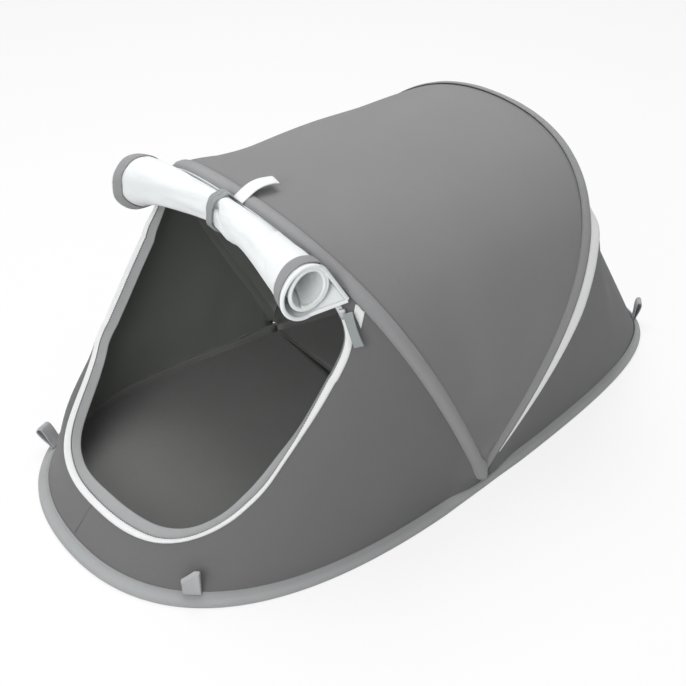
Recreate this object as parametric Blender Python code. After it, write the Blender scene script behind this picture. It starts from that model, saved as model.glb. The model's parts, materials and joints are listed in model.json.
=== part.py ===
import math
import bpy
import bmesh
from mathutils import Vector

for old in list(bpy.data.objects):
    bpy.data.objects.remove(old, do_unlink=True)

# Pop-up pet tent: two sprung hoops sewn together at two side points, metres, +Z up.
# Half of each hoop lies on the ground, the other half stands as an arch.
# The mouth faces -Y, and the four hoop halves fold about the line through the side points.

# Plan of the floor, sleeve centre lines
half_span = 0.266
front_reach = 0.547
front_flare = 0.131
front_shoulder = 0.243
front_crown = 0.304
rear_reach = 0.550
rear_flare = -0.131
rear_shoulder = 0.4995
rear_crown = 0.149

# Arches, measured in their own leaning planes from the fold line
front_arch_lean = 61.2
front_arch_reach = 0.493
front_arch_flare = 0.147
front_arch_shoulder = 0.334
front_arch_crown = 0.276
rear_arch_lean = 119.4
rear_arch_reach = 0.510
rear_arch_flare = 0.100
rear_arch_shoulder = 0.150
rear_arch_crown = 0.357

# Sleeves of folded tape with a spring wire running loose in each
floor_sleeve_width = 0.008
floor_sleeve_height = 0.016
arch_sleeve_width = 0.018
arch_sleeve_thickness = 0.0055
sleeve_chamfer = 0.0016
sleeve_running_gap = 0.0016
wire_diameter = 0.0036
wire_clearance = 0.0004
wire_setback = 0.0008
halves_gap = 0.0004
seam_gap = 0.0004
stations = 34

# Cloth
floor_cloth = 0.0015
wall_cloth = 0.0012
wall_setback = 0.040
rear_seam_room = 0.0012
ground_seam_inset = 0.0012
canopy_rows = 5
rear_wall_rows = 4
front_wall_rows = 3

# Mouth, on the front wall: widths across, heights along the wall
mouth_half_width_top = 0.2375
mouth_half_width_sill = 0.2255
mouth_sill_height = 0.067
mouth_head_drop = 0.017
mouth_waist = 0.355
mouth_sill_squareness = 4.0
mouth_head_squareness = 8.0
zip_tape_width_sill = 0.012
zip_tape_width_side = 0.0035
zip_tape_width_head = 0.005
facing_width_sill = 0.022
facing_width_side = 0.004
facing_width_head = 0.005
edge_gap = 0.0006
zip_tape_thickness = 0.0014

# Rolled door. Height is along the arch's plane from the fold line, forward is square to that plane
roll_left_end = -0.267
roll_waist_at = -0.004
roll_right_end = 0.202
roll_left_radius = 0.042
roll_waist_radius = 0.023
roll_right_radius = 0.033
roll_forward_left = 0.055
roll_forward_waist = 0.036
roll_forward_right = 0.052
roll_height_left = 0.428
roll_height_waist = 0.504
roll_height_right = 0.479
roll_core_share = 0.66
roll_turns = 1.75
roll_cloth = 0.0022
roll_left_stations = 7
roll_right_stations = 5
roll_points = 27
roll_seam_left = 0.205
roll_seam_right = 0.222
door_band_width = 0.014
door_band_setback_right = 0.006
door_band_thickness = 0.0011
door_band_points = 11
tie_width = 0.015
tie_thickness = 0.0014
tie_slack = 0.0006

# Strap sewn over the crown of the front arch
strap_width = 0.013
strap_thickness = 0.0012
strap_across = 0.014
strap_tail = 0.049
strap_lift = 0.012

# White tape beside the rear arch, outside the rear wall
side_tape_width = 0.016
side_tape_thickness = 0.001
side_tape_taper = 0.35
side_tape_edge = 0.0012
side_tape_gap = 0.001

# Zip slider and its ribbon tab
slider_length = 0.013
slider_width = 0.009
slider_height = 0.006
slider_lift = 0.0012
slider_turn_rest = 42.0
slider_turn_end = 35.0
tab_length = 0.038
tab_width = 0.009
tab_thickness = 0.0018
tab_swing_rest = 2.0

# Peg loops of folded webbing
loop_webbing = 0.025
loop_cloth = 0.0016
loop_fold_gap = 0.0005
loop_length = 0.036
loop_root = 0.010
loop_eye_half = 0.0042
loop_front_across = 0.204
loop_rear_across = 0.111
loop_lean_front_right = 0.0
loop_lean_front_left = 42.0
loop_lean_rear = 33.0
loop_outset = 0.0022

axis_height = floor_sleeve_height + seam_gap + arch_sleeve_width / 2
arch_offset = (arch_sleeve_thickness + sleeve_running_gap) / 2
front_arch_side = half_span + arch_offset
rear_arch_side = half_span - arch_offset
fold_line_y = (front_reach - rear_reach) / 2
fold_line = Vector((0, fold_line_y, axis_height))


def material(name, colour, roughness, metallic=0.0):
    made = bpy.data.materials.new(name)
    made.use_nodes = True
    shader = made.node_tree.nodes["Principled BSDF"]
    shader.inputs["Base Color"].default_value = (*colour, 1)
    shader.inputs["Roughness"].default_value = roughness
    shader.inputs["Metallic"].default_value = metallic
    made.diffuse_color = (*colour, 1)
    return made


grey_cloth = material("grey_cloth", (0.205, 0.205, 0.208), 0.85)
floor_grey = material("floor_grey", (0.11, 0.11, 0.112), 0.9)
arch_tape = material("arch_tape", (0.25, 0.25, 0.255), 0.7)
floor_tape = material("floor_tape", (0.40, 0.405, 0.41), 0.7)
white_tape = material("white_tape", (0.86, 0.87, 0.88), 0.6)
door_cloth = material("door_cloth", (0.83, 0.87, 0.88), 0.75)
tie_tape = material("tie_tape", (0.33, 0.35, 0.36), 0.6)
loop_tape = material("loop_tape", (0.47, 0.48, 0.49), 0.7)
spring_steel = material("spring_steel", (0.55, 0.56, 0.58), 0.3, 1.0)
zip_metal = material("zip_metal", (0.45, 0.46, 0.47), 0.35, 1.0)


class Hoop:
    # Half of a spring hoop in a plane that leans about the fold line.
    # t runs from -1 at the left side point over 0 at the crown to 1 at the right.

    def __init__(self, side, flare, shoulder, crown, reach, lean, start=0.0):
        self.handles = [
            Vector((side, start)),
            Vector((side + flare * shoulder, shoulder)),
            Vector((crown, reach)),
            Vector((0, reach)),
        ]
        self.lean = math.radians(lean)
        steps = 240
        self.table = [0.0]
        last = self.bezier(0)
        for i in range(1, steps + 1):
            here = self.bezier(i / steps)
            self.table.append(self.table[-1] + (here - last).length)
            last = here
        self.length = self.table[-1]

    def bezier(self, s):
        a, b, c, d = self.handles
        k = 1 - s
        return a * k**3 + b * (3 * k * k * s) + c * (3 * k * s * s) + d * s**3

    def flat(self, t):
        # Point at equal steps of length along the sleeve, run on straight past the side points
        wanted = (1 - abs(t)) * self.length
        steps = len(self.table) - 1
        if wanted <= 0:
            away = (self.bezier(0) - self.bezier(1 / steps)).normalized()
            point = self.bezier(0) - away * wanted
        else:
            low = 0
            high = steps
            while high - low > 1:
                middle = (low + high) // 2
                if self.table[middle] <= wanted:
                    low = middle
                else:
                    high = middle
            part = (wanted - self.table[low]) / (self.table[high] - self.table[low])
            point = self.bezier((low + part) / steps)
        return Vector((math.copysign(point.x, t) if t else 0.0, point.y))

    def inward(self, t):
        reach = 0.002
        along = (self.flat(t + reach) - self.flat(t - reach)).normalized()
        return Vector((along.y, -along.x))

    def point(self, t, inset=0.0, shift=0.0):
        # inset goes inwards in the hoop's plane, shift goes square to it, towards the rear
        place = self.flat(t) + self.inward(t) * inset
        c = math.cos(self.lean)
        s = math.sin(self.lean)
        return Vector((place.x, -c * place.y + s * shift, s * place.y + c * shift))

    def tangent(self, t):
        return (self.point(t + 0.002) - self.point(t - 0.002)).normalized()


floor_start = halves_gap / 2
front_floor = Hoop(half_span, front_flare, front_shoulder, front_crown, front_reach, 0.0, floor_start)
rear_floor = Hoop(half_span, rear_flare, rear_shoulder, rear_crown, rear_reach, 180.0, floor_start)
front_arch = Hoop(
    front_arch_side,
    front_arch_flare,
    front_arch_shoulder,
    front_arch_crown,
    front_arch_reach,
    front_arch_lean,
)
rear_arch = Hoop(
    rear_arch_side,
    rear_arch_flare,
    rear_arch_shoulder,
    rear_arch_crown,
    rear_arch_reach,
    rear_arch_lean,
)


def pivot(name, location, parent=None, turn=0.0):
    made = bpy.data.objects.new(name, None)
    bpy.context.collection.objects.link(made)
    made.location = location
    made.rotation_euler = (0, 0, turn)
    made.parent = parent
    return made


def place(name, mesh, paint, parent, location=(0, 0, 0)):
    mesh.materials.append(paint)
    mesh.shade_smooth()
    mesh.set_sharp_from_angle(angle=math.radians(40))
    made = bpy.data.objects.new(name, mesh)
    bpy.context.collection.objects.link(made)
    made.parent = parent
    made.location = location
    return made


def finish_mesh(name, made):
    bmesh.ops.recalc_face_normals(made, faces=made.faces)
    if made.calc_volume(signed=True) < 0:
        bmesh.ops.reverse_faces(made, faces=made.faces)
    mesh = bpy.data.meshes.new(name)
    made.to_mesh(mesh)
    made.free()
    return mesh


def lofted(name, rings):
    # Solid through closed rings of points, capped at both ends
    made = bmesh.new()
    rows = [[made.verts.new(p) for p in ring] for ring in rings]
    count = len(rings[0])
    for a, b in zip(rows, rows[1:]):
        for i in range(count):
            j = (i + 1) % count
            made.faces.new((a[i], a[j], b[j], b[i]))
    made.faces.new(rows[0])
    made.faces.new(rows[-1])
    return finish_mesh(name, made)


def lofted_sheet(name, rings):
    # Solid through rings that run out along one side of a sheet and back along the other.
    # Both sides are split on the same diagonals, so that they stay apart where the sheet twists.
    made = bmesh.new()
    rows = [[made.verts.new(p) for p in ring] for ring in rings]
    count = len(rings[0])
    last = count - 1
    for a, b in zip(rows, rows[1:]):
        for i in range(count):
            j = (i + 1) % count
            if i < count // 2:
                made.faces.new((a[i], a[j], b[j]))
                made.faces.new((a[i], b[j], b[i]))
            else:
                made.faces.new((a[i], a[j], b[i]))
                made.faces.new((a[j], b[j], b[i]))
    for row in (rows[0], rows[-1]):
        for i in range(count // 2 - 1):
            made.faces.new((row[i], row[i + 1], row[last - i - 1], row[last - i]))
    return finish_mesh(name, made)


def tube(name, outer, bore):
    # Open-ended sleeve between two families of rings with as many points each
    made = bmesh.new()
    skins = [[[made.verts.new(p) for p in ring] for ring in rings] for rings in (outer, bore)]
    count = len(outer[0])
    for rows in skins:
        for a, b in zip(rows, rows[1:]):
            for i in range(count):
                j = (i + 1) % count
                made.faces.new((a[i], a[j], b[j], b[i]))
    for end in (0, -1):
        for i in range(count):
            j = (i + 1) % count
            made.faces.new((skins[0][end][i], skins[0][end][j], skins[1][end][j], skins[1][end][i]))
    return finish_mesh(name, made)


def cloth(name, rows, thickness, wrapped=False):
    # Sheet through rows of points, thickened evenly to both sides
    made = bmesh.new()
    grid = [[made.verts.new(p) for p in row] for row in rows]
    count = len(rows[0])
    for a, b in zip(grid, grid[1:]):
        for i in range(count if wrapped else count - 1):
            j = (i + 1) % count
            made.faces.new((a[i], a[j], b[j], b[i]))
    bmesh.ops.recalc_face_normals(made, faces=made.faces)
    made.normal_update()
    middle = [v for v in made.verts]
    lifted = {v: made.verts.new(v.co + v.normal * thickness / 2) for v in middle}
    sunk = {v: made.verts.new(v.co - v.normal * thickness / 2) for v in middle}
    faces = list(made.faces)
    rims = [e for e in made.edges if len(e.link_faces) == 1]
    for face in faces:
        made.faces.new([lifted[v] for v in face.verts])
        made.faces.new([sunk[v] for v in reversed(face.verts)])
    for edge in rims:
        a, b = edge.verts
        made.faces.new((lifted[a], lifted[b], sunk[b], sunk[a]))
    bmesh.ops.delete(made, geom=middle, context="VERTS")
    return finish_mesh(name, made)


def prism(name, outline, low, high):
    # Flat sheet between two heights over an outline in plan
    made = bmesh.new()
    bottom = [made.verts.new((x, y, low)) for x, y in outline]
    top = [made.verts.new((x, y, high)) for x, y in outline]
    count = len(outline)
    made.faces.new(bottom)
    made.faces.new(top)
    for i in range(count):
        j = (i + 1) % count
        made.faces.new((bottom[i], bottom[j], top[j], top[i]))
    return finish_mesh(name, made)


def sleeve_section(half_in, half_across, chamfer):
    a = half_in
    b = half_across
    c = chamfer
    upper = [(a, b - c), (a - c, b), (c - a, b), (-a, b - c)]
    lower = [(-a, c - b), (c - a, -b), (a - c, -b), (a, c - b)]
    return upper + lower


def round_section(radius, sides):
    turn = 2 * math.pi / sides
    angles = [turn * (i + 0.5) for i in range(sides)]
    return [(radius * math.cos(angle), radius * math.sin(angle)) for angle in angles]


def rings_along(hoop, places, section, shift=0.0):
    return [[hoop.point(t, inset, shift + across) for inset, across in section] for t in places]


def spread(count, end):
    return [end * (2 * i / count - 1) for i in range(count + 1)]


def wall_end(hoop):
    return 1 - wall_setback / hoop.length


wall_spread = spread(stations, 1.0)


def sewn_stations(hoop):
    # Where the walls' seams have their corners, so that cloth and sleeve turn together
    return [t * wall_end(hoop) for t in wall_spread]


front_pivot = pivot("front_arch_axis", fold_line)
rear_pivot = pivot("rear_arch_axis", (0, 0, 0), front_pivot)
back_pivot = pivot("rear_floor_axis", (0, 0, 0), rear_pivot)
base = pivot("tent_base", fold_line)

bore_radius = wire_diameter / 2 + wire_clearance
bore_section = round_section(bore_radius / math.cos(math.pi / 8), 8)
wire_section = round_section(wire_diameter / 2, 6)
floor_middle = axis_height - floor_sleeve_height / 2


def floor_half(name, hoop, below, parent):
    # Sleeve standing on the ground, its wire, and the cloth inside it
    shift = below * floor_middle
    section = sleeve_section(floor_sleeve_width / 2, floor_sleeve_height / 2, sleeve_chamfer)
    places = [-1.0] + sewn_stations(hoop) + [1.0]
    mesh = tube(
        name + "_sleeve",
        rings_along(hoop, places, section, shift),
        rings_along(hoop, places, bore_section, shift),
    )
    place(name + "_sleeve", mesh, floor_tape, parent)
    end = 1 - wire_setback / hoop.length
    wire_places = [-end] + places[1:-1] + [end]
    mesh = lofted(name + "_wire", rings_along(hoop, wire_places, wire_section, shift))
    place(name + "_wire", mesh, spring_steel, parent)
    sheet_inset = floor_sleeve_width / 2 + seam_gap
    outline = [hoop.point(t, sheet_inset)[:2] for t in places]
    mesh = prism(name + "_cloth", outline, -axis_height, floor_cloth - axis_height)
    place(name + "_cloth", mesh, floor_grey, parent)


def arch(name, hoop, parent):
    # Sleeve with rounded ends standing on the floor sleeve, and its wire
    end_drop = 0.60 * arch_sleeve_width / 2
    end_half = 0.78 * arch_sleeve_width / 2
    end = 1 + end_drop / hoop.length
    places = [-end, -1.0] + sewn_stations(hoop) + [1.0, end]
    outer = []
    for t in places:
        half_across = end_half if abs(t) > 1 else arch_sleeve_width / 2
        section = sleeve_section(arch_sleeve_thickness / 2, half_across, sleeve_chamfer)
        outer.append([hoop.point(t, inset, across) for inset, across in section])
    mesh = tube(name + "_sleeve", outer, rings_along(hoop, places, bore_section))
    place(name + "_sleeve", mesh, arch_tape, parent)
    wire_end = end - wire_setback / hoop.length
    wire_places = [-wire_end] + places[1:-1] + [wire_end]
    mesh = lofted(name + "_wire", rings_along(hoop, wire_places, wire_section))
    place(name + "_wire", mesh, spring_steel, parent)


floor_half("front_floor", front_floor, -1, base)
floor_half("rear_floor", rear_floor, 1, back_pivot)
arch("front_arch", front_arch, front_pivot)
arch("rear_arch", rear_arch, rear_pivot)

# Cloth walls, each ruled between the seams of two neighbouring hoop halves
seam_inset = arch_sleeve_thickness / 2 + seam_gap + wall_cloth / 2
rear_seam_inset = seam_inset + rear_seam_room
seam_shift = arch_sleeve_width / 4
ground_seam_rise = floor_sleeve_height - axis_height + seam_gap + wall_cloth / 2


def front_seam(t):
    return front_arch.point(t * wall_end(front_arch), seam_inset, -seam_shift)


def front_ground_seam(t):
    return front_floor.point(t * wall_end(front_floor), ground_seam_inset, ground_seam_rise)


def canopy_front_seam(t):
    return front_arch.point(t * wall_end(front_arch), seam_inset, seam_shift)


def canopy_rear_seam(t):
    return rear_arch.point(t * wall_end(rear_arch), rear_seam_inset, -seam_shift)


def rear_seam(t):
    return rear_arch.point(t * wall_end(rear_arch), rear_seam_inset, seam_shift)


def rear_ground_seam(t):
    return rear_floor.point(t * wall_end(rear_floor), ground_seam_inset, -ground_seam_rise)


def front_wall_point(t, w):
    return front_seam(t).lerp(front_ground_seam(t), w)


for name, first, second, rows, parent in (
    ("canopy", canopy_front_seam, canopy_rear_seam, canopy_rows, rear_pivot),
    ("rear_wall", rear_seam, rear_ground_seam, rear_wall_rows, back_pivot),
):
    grid = [[first(t).lerp(second(t), i / rows) for t in wall_spread] for i in range(rows + 1)]
    place(name, cloth(name, grid, wall_cloth), grey_cloth, parent)

# Front wall with the mouth cut out of it, and the zip tape and facing round the mouth
wall_drop = (front_ground_seam(0) - front_seam(0)).length
rim = [(t, 0.0) for t in wall_spread]
rim += [(1.0, (i + 1) / 4) for i in range(3)]
rim += [(t, 1.0) for t in reversed(wall_spread)]
rim += [(-1.0, 1 - (i + 1) / 4) for i in range(3)]
rim_half = mouth_half_width_top / front_floor.length


def mouth_point(aim, side_in, sill_in, head_in):
    # Point of the mouth's outline in a direction, moved in from the cut by the named widths
    across, down = aim
    sill = 1 - (mouth_sill_height + sill_in) / wall_drop
    head = (mouth_head_drop + head_in) / wall_drop
    below = down > mouth_waist
    reach = (sill - mouth_waist) if below else (mouth_waist - head)
    power = mouth_sill_squareness if below else mouth_head_squareness
    u = across / rim_half
    v = (down - mouth_waist) / reach
    size = (abs(u) ** power + abs(v) ** power) ** (-1 / power)
    w = mouth_waist + v * size * reach
    taper = mouth_half_width_top + (mouth_half_width_sill - mouth_half_width_top) * w
    x = abs(u) * size * (taper - side_in)
    low = 0.0
    high = 0.8
    for _ in range(40):
        middle = (low + high) / 2
        if front_wall_point(middle, w).x < x:
            low = middle
        else:
            high = middle
    return math.copysign(low, across), w


def mouth_ring(side_in, sill_in, head_in):
    return [mouth_point(aim, side_in, sill_in, head_in) for aim in rim]


def between(first, second, rows):
    grid = []
    for i in range(rows + 1):
        part = i / rows
        row = []
        for a, b in zip(first, second):
            row.append(front_wall_point(a[0] + (b[0] - a[0]) * part, a[1] + (b[1] - a[1]) * part))
        grid.append(row)
    return grid


wall_grid = between(mouth_ring(0, 0, 0), rim, front_wall_rows)
place("front_wall", cloth("front_wall", wall_grid, wall_cloth, True), grey_cloth, front_pivot)
tape_out = (edge_gap, edge_gap, edge_gap)
tape_in = (
    edge_gap + zip_tape_width_side,
    edge_gap + zip_tape_width_sill,
    edge_gap + zip_tape_width_head,
)
facing_out = [part + edge_gap for part in tape_in]
facing_in = (
    facing_out[0] + facing_width_side,
    facing_out[1] + facing_width_sill,
    facing_out[2] + facing_width_head,
)
tape_grid = between(mouth_ring(*tape_out), mouth_ring(*tape_in), 1)
place("zip_tape", cloth("zip_tape", tape_grid, zip_tape_thickness, True), white_tape, front_pivot)
facing_grid = between(mouth_ring(*facing_out), mouth_ring(*facing_in), 1)
place("mouth_facing", cloth("mouth_facing", facing_grid, wall_cloth, True), floor_tape, front_pivot)


# White tape on the outside of the rear wall beside the arch, narrowing to nothing at the side points
def rear_tape_rows():
    lift = wall_cloth / 2 + side_tape_thickness / 2 + side_tape_gap
    first = arch_sleeve_width / 2 - seam_shift + side_tape_edge
    inner = []
    outer = []
    for t in wall_spread[1:-1]:
        top = rear_seam(t)
        down = (rear_ground_seam(t) - top).normalized()
        out = down.cross(rear_arch.tangent(t)).normalized()
        if out.dot(top - Vector((0, 0, axis_height))) < 0:
            out = -out
        width = side_tape_width * min(1.0, (1 - abs(t)) / side_tape_taper + 0.1)
        inner.append(top + down * first + out * lift)
        outer.append(top + down * (first + width) + out * lift)
    return [inner, outer]


place("side_tape", cloth("side_tape", rear_tape_rows(), side_tape_thickness), white_tape, back_pivot)

# Rolled door: a cloth spiral whose outer end runs to the seam on the front arch's sleeve
arch_cos = math.cos(front_arch.lean)
arch_sin = math.sin(front_arch.lean)
seam_plane = -arch_sleeve_width / 2 - seam_gap


def roll_values(x):
    # Radius, forward and height, all steady across the tie
    away = max(0.0, abs(x - roll_waist_at) - tie_width / 2 - edge_gap)
    if x < roll_waist_at:
        s = away / (roll_waist_at - roll_left_end - tie_width / 2 - edge_gap)
        radius = roll_waist_radius + (roll_left_radius - roll_waist_radius) * s**2.2
        forward = roll_forward_waist + (roll_forward_left - roll_forward_waist) * s
        height = roll_height_waist + (roll_height_left - roll_height_waist) * s * s
    else:
        s = away / (roll_right_end - roll_waist_at - tie_width / 2 - edge_gap)
        radius = roll_waist_radius + (roll_right_radius - roll_waist_radius) * math.sin(s * math.pi / 2)
        forward = roll_forward_waist + (roll_forward_right - roll_forward_waist) * s
        height = roll_height_waist + (roll_height_right - roll_height_waist) * s * s
    return radius, forward, height


def roll_centre(x):
    radius, forward, height = roll_values(x)
    y = -height * arch_cos - forward * arch_sin
    z = height * arch_sin - forward * arch_cos
    return Vector((y, z)), radius


def across_t(hoop, x):
    # Place along a hoop half, above its widest point, that lies x off the middle
    low = 0.0
    high = 0.55
    for _ in range(40):
        middle = (low + high) / 2
        if hoop.flat(middle).x < abs(x):
            low = middle
        else:
            high = middle
    return math.copysign(low, x)


def seam_target(x):
    # On the sleeve's front edge
    reach = max(-roll_seam_left, min(roll_seam_right, x))
    seat = front_arch.point(across_t(front_arch, reach), 0, seam_plane)
    return Vector((seat.y, seat.z))


def thick_outline(path, thickness):
    # Closed outline round an open path of points in a plane
    left = []
    right = []
    for i, here in enumerate(path):
        a = path[max(0, i - 1)]
        b = path[min(len(path) - 1, i + 1)]
        along = (b - a).normalized()
        side = Vector((-along.y, along.x)) * (thickness / 2)
        left.append(here + side)
        right.append(here - side)
    return left + right[::-1]


def on_circle(centre, angle, radius):
    return centre + Vector((math.cos(angle), math.sin(angle))) * radius


def tangent_angle(centre, radius, target, side):
    # Where a straight run to the target leaves the circle
    away = target - centre
    return math.atan2(away.y, away.x) + side * math.acos(min(0.98, radius / away.length))


def flap_across(x):
    # How far the door runs sideways to its seam, at the open end of the roll
    share = max(0.0, (x - roll_waist_at) / (roll_right_end - roll_waist_at))
    return (roll_seam_right - roll_right_end) * share**3


def roll_spiral(x, lift=0.0):
    centre, radius = roll_centre(x)
    leave = tangent_angle(centre, radius, seam_target(x + flap_across(x)), -1)
    path = []
    for i in range(roll_points):
        s = i / (roll_points - 1)
        angle = leave - (1 - s) * roll_turns * 2 * math.pi
        size = radius * (roll_core_share + (1 - roll_core_share) * s)
        path.append(on_circle(centre, angle, size + lift))
    return path


def roll_ring(x):
    path = roll_spiral(x)
    sideways = flap_across(x)
    target = seam_target(x + sideways)
    across = [0.0] * roll_points + [sideways / 2, sideways]
    last = path[-1]
    gap = (target - last).length
    stop = last + (target - last) * max(0.0, 1 - (roll_cloth / 2 + seam_gap) / gap)
    path += [last.lerp(stop, 0.5), stop]
    outline = thick_outline(path, roll_cloth)
    return [Vector((x + dx, p.x, p.y)) for p, dx in zip(outline, across + across[::-1])]


band_left = roll_left_end + door_band_width
band_right = roll_right_end - door_band_setback_right


def door_roll():
    # Its stations take in the edges of the tie and of the two bands
    left_of_tie = roll_waist_at - tie_width / 2 - edge_gap
    right_of_tie = roll_waist_at + tie_width / 2 + edge_gap
    places = [roll_left_end]
    for i in range(roll_left_stations + 1):
        places.append(band_left + (left_of_tie - band_left) * i / roll_left_stations)
    run = band_right - door_band_width - right_of_tie
    for i in range(roll_right_stations + 1):
        places.append(right_of_tie + run * i / roll_right_stations)
    places += [band_right, roll_right_end]
    place("door_roll", lofted_sheet("door_roll", [roll_ring(x) for x in places]), door_cloth, front_pivot)


door_roll()


def door_band(name, low, high):
    # Binding of the door's edge, round the outside of the roll as far as the door's run to its seam
    lift = roll_cloth / 2 + seam_gap + door_band_thickness / 2
    made_rings = []
    for x in (low, high):
        path = roll_spiral(x, lift)[-door_band_points:]
        made_rings.append([Vector((x, p.x, p.y)) for p in thick_outline(path, door_band_thickness)])
    place(name, lofted_sheet(name, made_rings), arch_tape, front_pivot)


door_band("door_band_left", roll_left_end, band_left)
door_band("door_band_right", band_right - door_band_width, band_right)


def door_tie():
    # Round the waist of the roll, both ends sewn to the front arch's sleeve
    steps = 20
    made_rings = []
    for x in (roll_waist_at - tie_width / 2, roll_waist_at + tie_width / 2):
        centre, radius = roll_centre(roll_waist_at)
        size = radius + roll_cloth / 2 + tie_slack + tie_thickness / 2
        t = across_t(front_arch, x)
        room = roll_cloth / 2 + tie_slack * 2 + tie_thickness / 2
        upper = front_arch.point(t, -room, seam_plane - tie_thickness)
        lower = front_arch.point(t, room, seam_plane - tie_thickness)
        upper = Vector((upper.y, upper.z))
        lower = Vector((lower.y, lower.z))
        first = tangent_angle(centre, size, upper, 1)
        last = tangent_angle(centre, size, lower, -1) + 2 * math.pi
        path = [upper]
        path += [on_circle(centre, first + (last - first) * i / steps, size) for i in range(steps + 1)]
        path.append(lower)
        made_rings.append([Vector((x, p.x, p.y)) for p in thick_outline(path, tie_thickness)])
    place("door_tie", lofted_sheet("door_tie", made_rings), tie_tape, front_pivot)


door_tie()


def bezier(a, b, c, d, s):
    k = 1 - s
    return a * k**3 + b * (3 * k * k * s) + c * (3 * k * s * s) + d * s**3


def strap():
    # Lies over the crown of the front arch, sewn at the front edge, its free end above the canopy
    lie = arch_sleeve_thickness / 2 + seam_gap + strap_thickness / 2
    t = across_t(front_arch, strap_across)
    sewn = front_arch.point(t, -lie, -arch_sleeve_width / 2)
    edge = front_arch.point(t, -lie, arch_sleeve_width / 2) - sewn
    along = edge.normalized()
    crown_t = across_t(rear_arch, strap_across)
    run = (canopy_rear_seam(crown_t) - canopy_front_seam(t)).normalized()
    above = wall_cloth + strap_thickness
    tail = canopy_front_seam(t) + run * strap_tail + Vector((0, 0, above)) - sewn
    path = [edge * (i / 3) for i in range(3)]
    for i in range(9):
        path.append(bezier(edge, edge + along * strap_lift, tail - run * strap_lift * 1.6, tail, i / 8))
    flat_path = [Vector((p.y, p.z)) for p in path]
    hinge = pivot("strap_axis", sewn, front_pivot)
    outline = thick_outline(flat_path, strap_thickness)
    made_rings = [[Vector((side * strap_width, p.x, p.y)) for p in outline] for side in (-0.5, 0.5)]
    place("strap", lofted_sheet("strap", made_rings), white_tape, hinge)


strap()

# Zip slider on the tape, round the right corner of the mouth's head
def zip_place(turn):
    # Middle of the zip tape, a turn up from level as seen from the mouth's waist
    aim = (
        rim_half * math.cos(math.radians(turn)),
        mouth_waist * (1 - math.sin(math.radians(turn))),
    )
    t, w = mouth_point(aim, *[(a + b) / 2 for a, b in zip(tape_out, tape_in)])
    return t, w, front_wall_point(t, w)


slider_t, slider_w, slider_seat = zip_place(slider_turn_rest)
slide_along = (zip_place(slider_turn_end)[2] - slider_seat).normalized()
cloth_across = front_wall_point(slider_t + 0.01, slider_w) - front_wall_point(slider_t - 0.01, slider_w)
cloth_down = front_wall_point(slider_t, slider_w + 0.01) - front_wall_point(slider_t, slider_w - 0.01)
cloth_out = cloth_down.cross(cloth_across).normalized()
slide_side = slide_along.cross(cloth_out).normalized()
slide_out = slide_side.cross(slide_along)


def zip_slider():
    hinge = pivot("slider_axis", slider_seat + slide_out * slider_lift, front_pivot)
    made = bmesh.new()
    bmesh.ops.create_cube(made, size=1.0)
    for v in made.verts:
        nose = 0.7 if v.co.y > 0 else 1.0
        a = v.co.x * slider_width * nose
        b = v.co.y * slider_length
        c = (v.co.z + 0.5) * slider_height
        v.co = slide_side * a + slide_along * b + slide_out * c
    made.normal_update()
    rounding = slider_height / 6
    bmesh.ops.bevel(made, geom=made.edges[:], offset=rounding, segments=2, profile=0.5, affect="EDGES")
    place("zip_slider", finish_mesh("zip_slider", made), zip_metal, hinge)
    return hinge


def zip_tab(slider_hinge):
    # Ribbon tab hanging from the slider's front, turning about an axis across it
    root = tab_thickness / 2
    where = slide_out * (slider_height + seam_gap + root)
    hinge = pivot("tab_axis", where, slider_hinge)
    rest = math.radians(tab_swing_rest)
    along = slide_along * math.cos(rest) + slide_out * math.sin(rest)
    normal = slide_side.cross(along).normalized()
    lean = root * math.sin(math.pi / 4)
    path = [(-root, 0.0), (-lean, lean), (0.0, root), (tab_length - root, root), (tab_length, root / 2)]
    path += [(tab_length, -root / 2), (tab_length - root, -root), (0.0, -root), (-lean, -lean)]
    made_rings = []
    for side in (-0.5, 0.5):
        made_rings.append([along * a + normal * b + slide_side * (side * tab_width) for a, b in path])
    place("zip_tab", lofted("zip_tab", made_rings), tie_tape, hinge)


zip_tab(zip_slider())


def loop_outline(clear):
    # Half outline of the folded webbing, as (along, half gap), outside it or, with clear, inside its eye
    tail = loop_cloth + loop_fold_gap / 2
    if clear:
        points = [(loop_root, 0.0), (loop_root + 0.0012, 0.0003), (loop_root + 0.0024, 0.0008)]
    else:
        points = [(-tail, 0.0), (-tail * 0.7, tail * 0.7), (0.0, tail)]
    for i in range(1, 9):
        s = i / 8
        along = loop_root * 0.5 + (loop_length - loop_root * 0.5 - loop_eye_half) * s
        half = loop_eye_half * math.sin(s * math.pi / 2) ** 1.6
        if clear:
            if along > loop_root + 0.003:
                points.append((along, half))
        else:
            points.append((along, max(tail, half + loop_cloth)))
    bend = loop_eye_half + (0.0 if clear else loop_cloth)
    tip = loop_length - loop_eye_half
    for i in range(1, 5):
        angle = math.pi / 2 * i / 4
        points.append((tip + bend * math.sin(angle), bend * math.cos(angle)))
    points[-1] = (tip + bend, 0.0)
    return points


def resample(points, count):
    lengths = [0.0]
    for a, b in zip(points, points[1:]):
        lengths.append(lengths[-1] + math.dist(a, b))
    made_points = []
    k = 0
    for i in range(count + 1):
        wanted = lengths[-1] * i / count
        while k < len(points) - 2 and lengths[k + 1] < wanted:
            k += 1
        part = (wanted - lengths[k]) / (lengths[k + 1] - lengths[k])
        a = points[k]
        b = points[k + 1]
        made_points.append((a[0] + (b[0] - a[0]) * part, a[1] + (b[1] - a[1]) * part))
    return made_points


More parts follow.
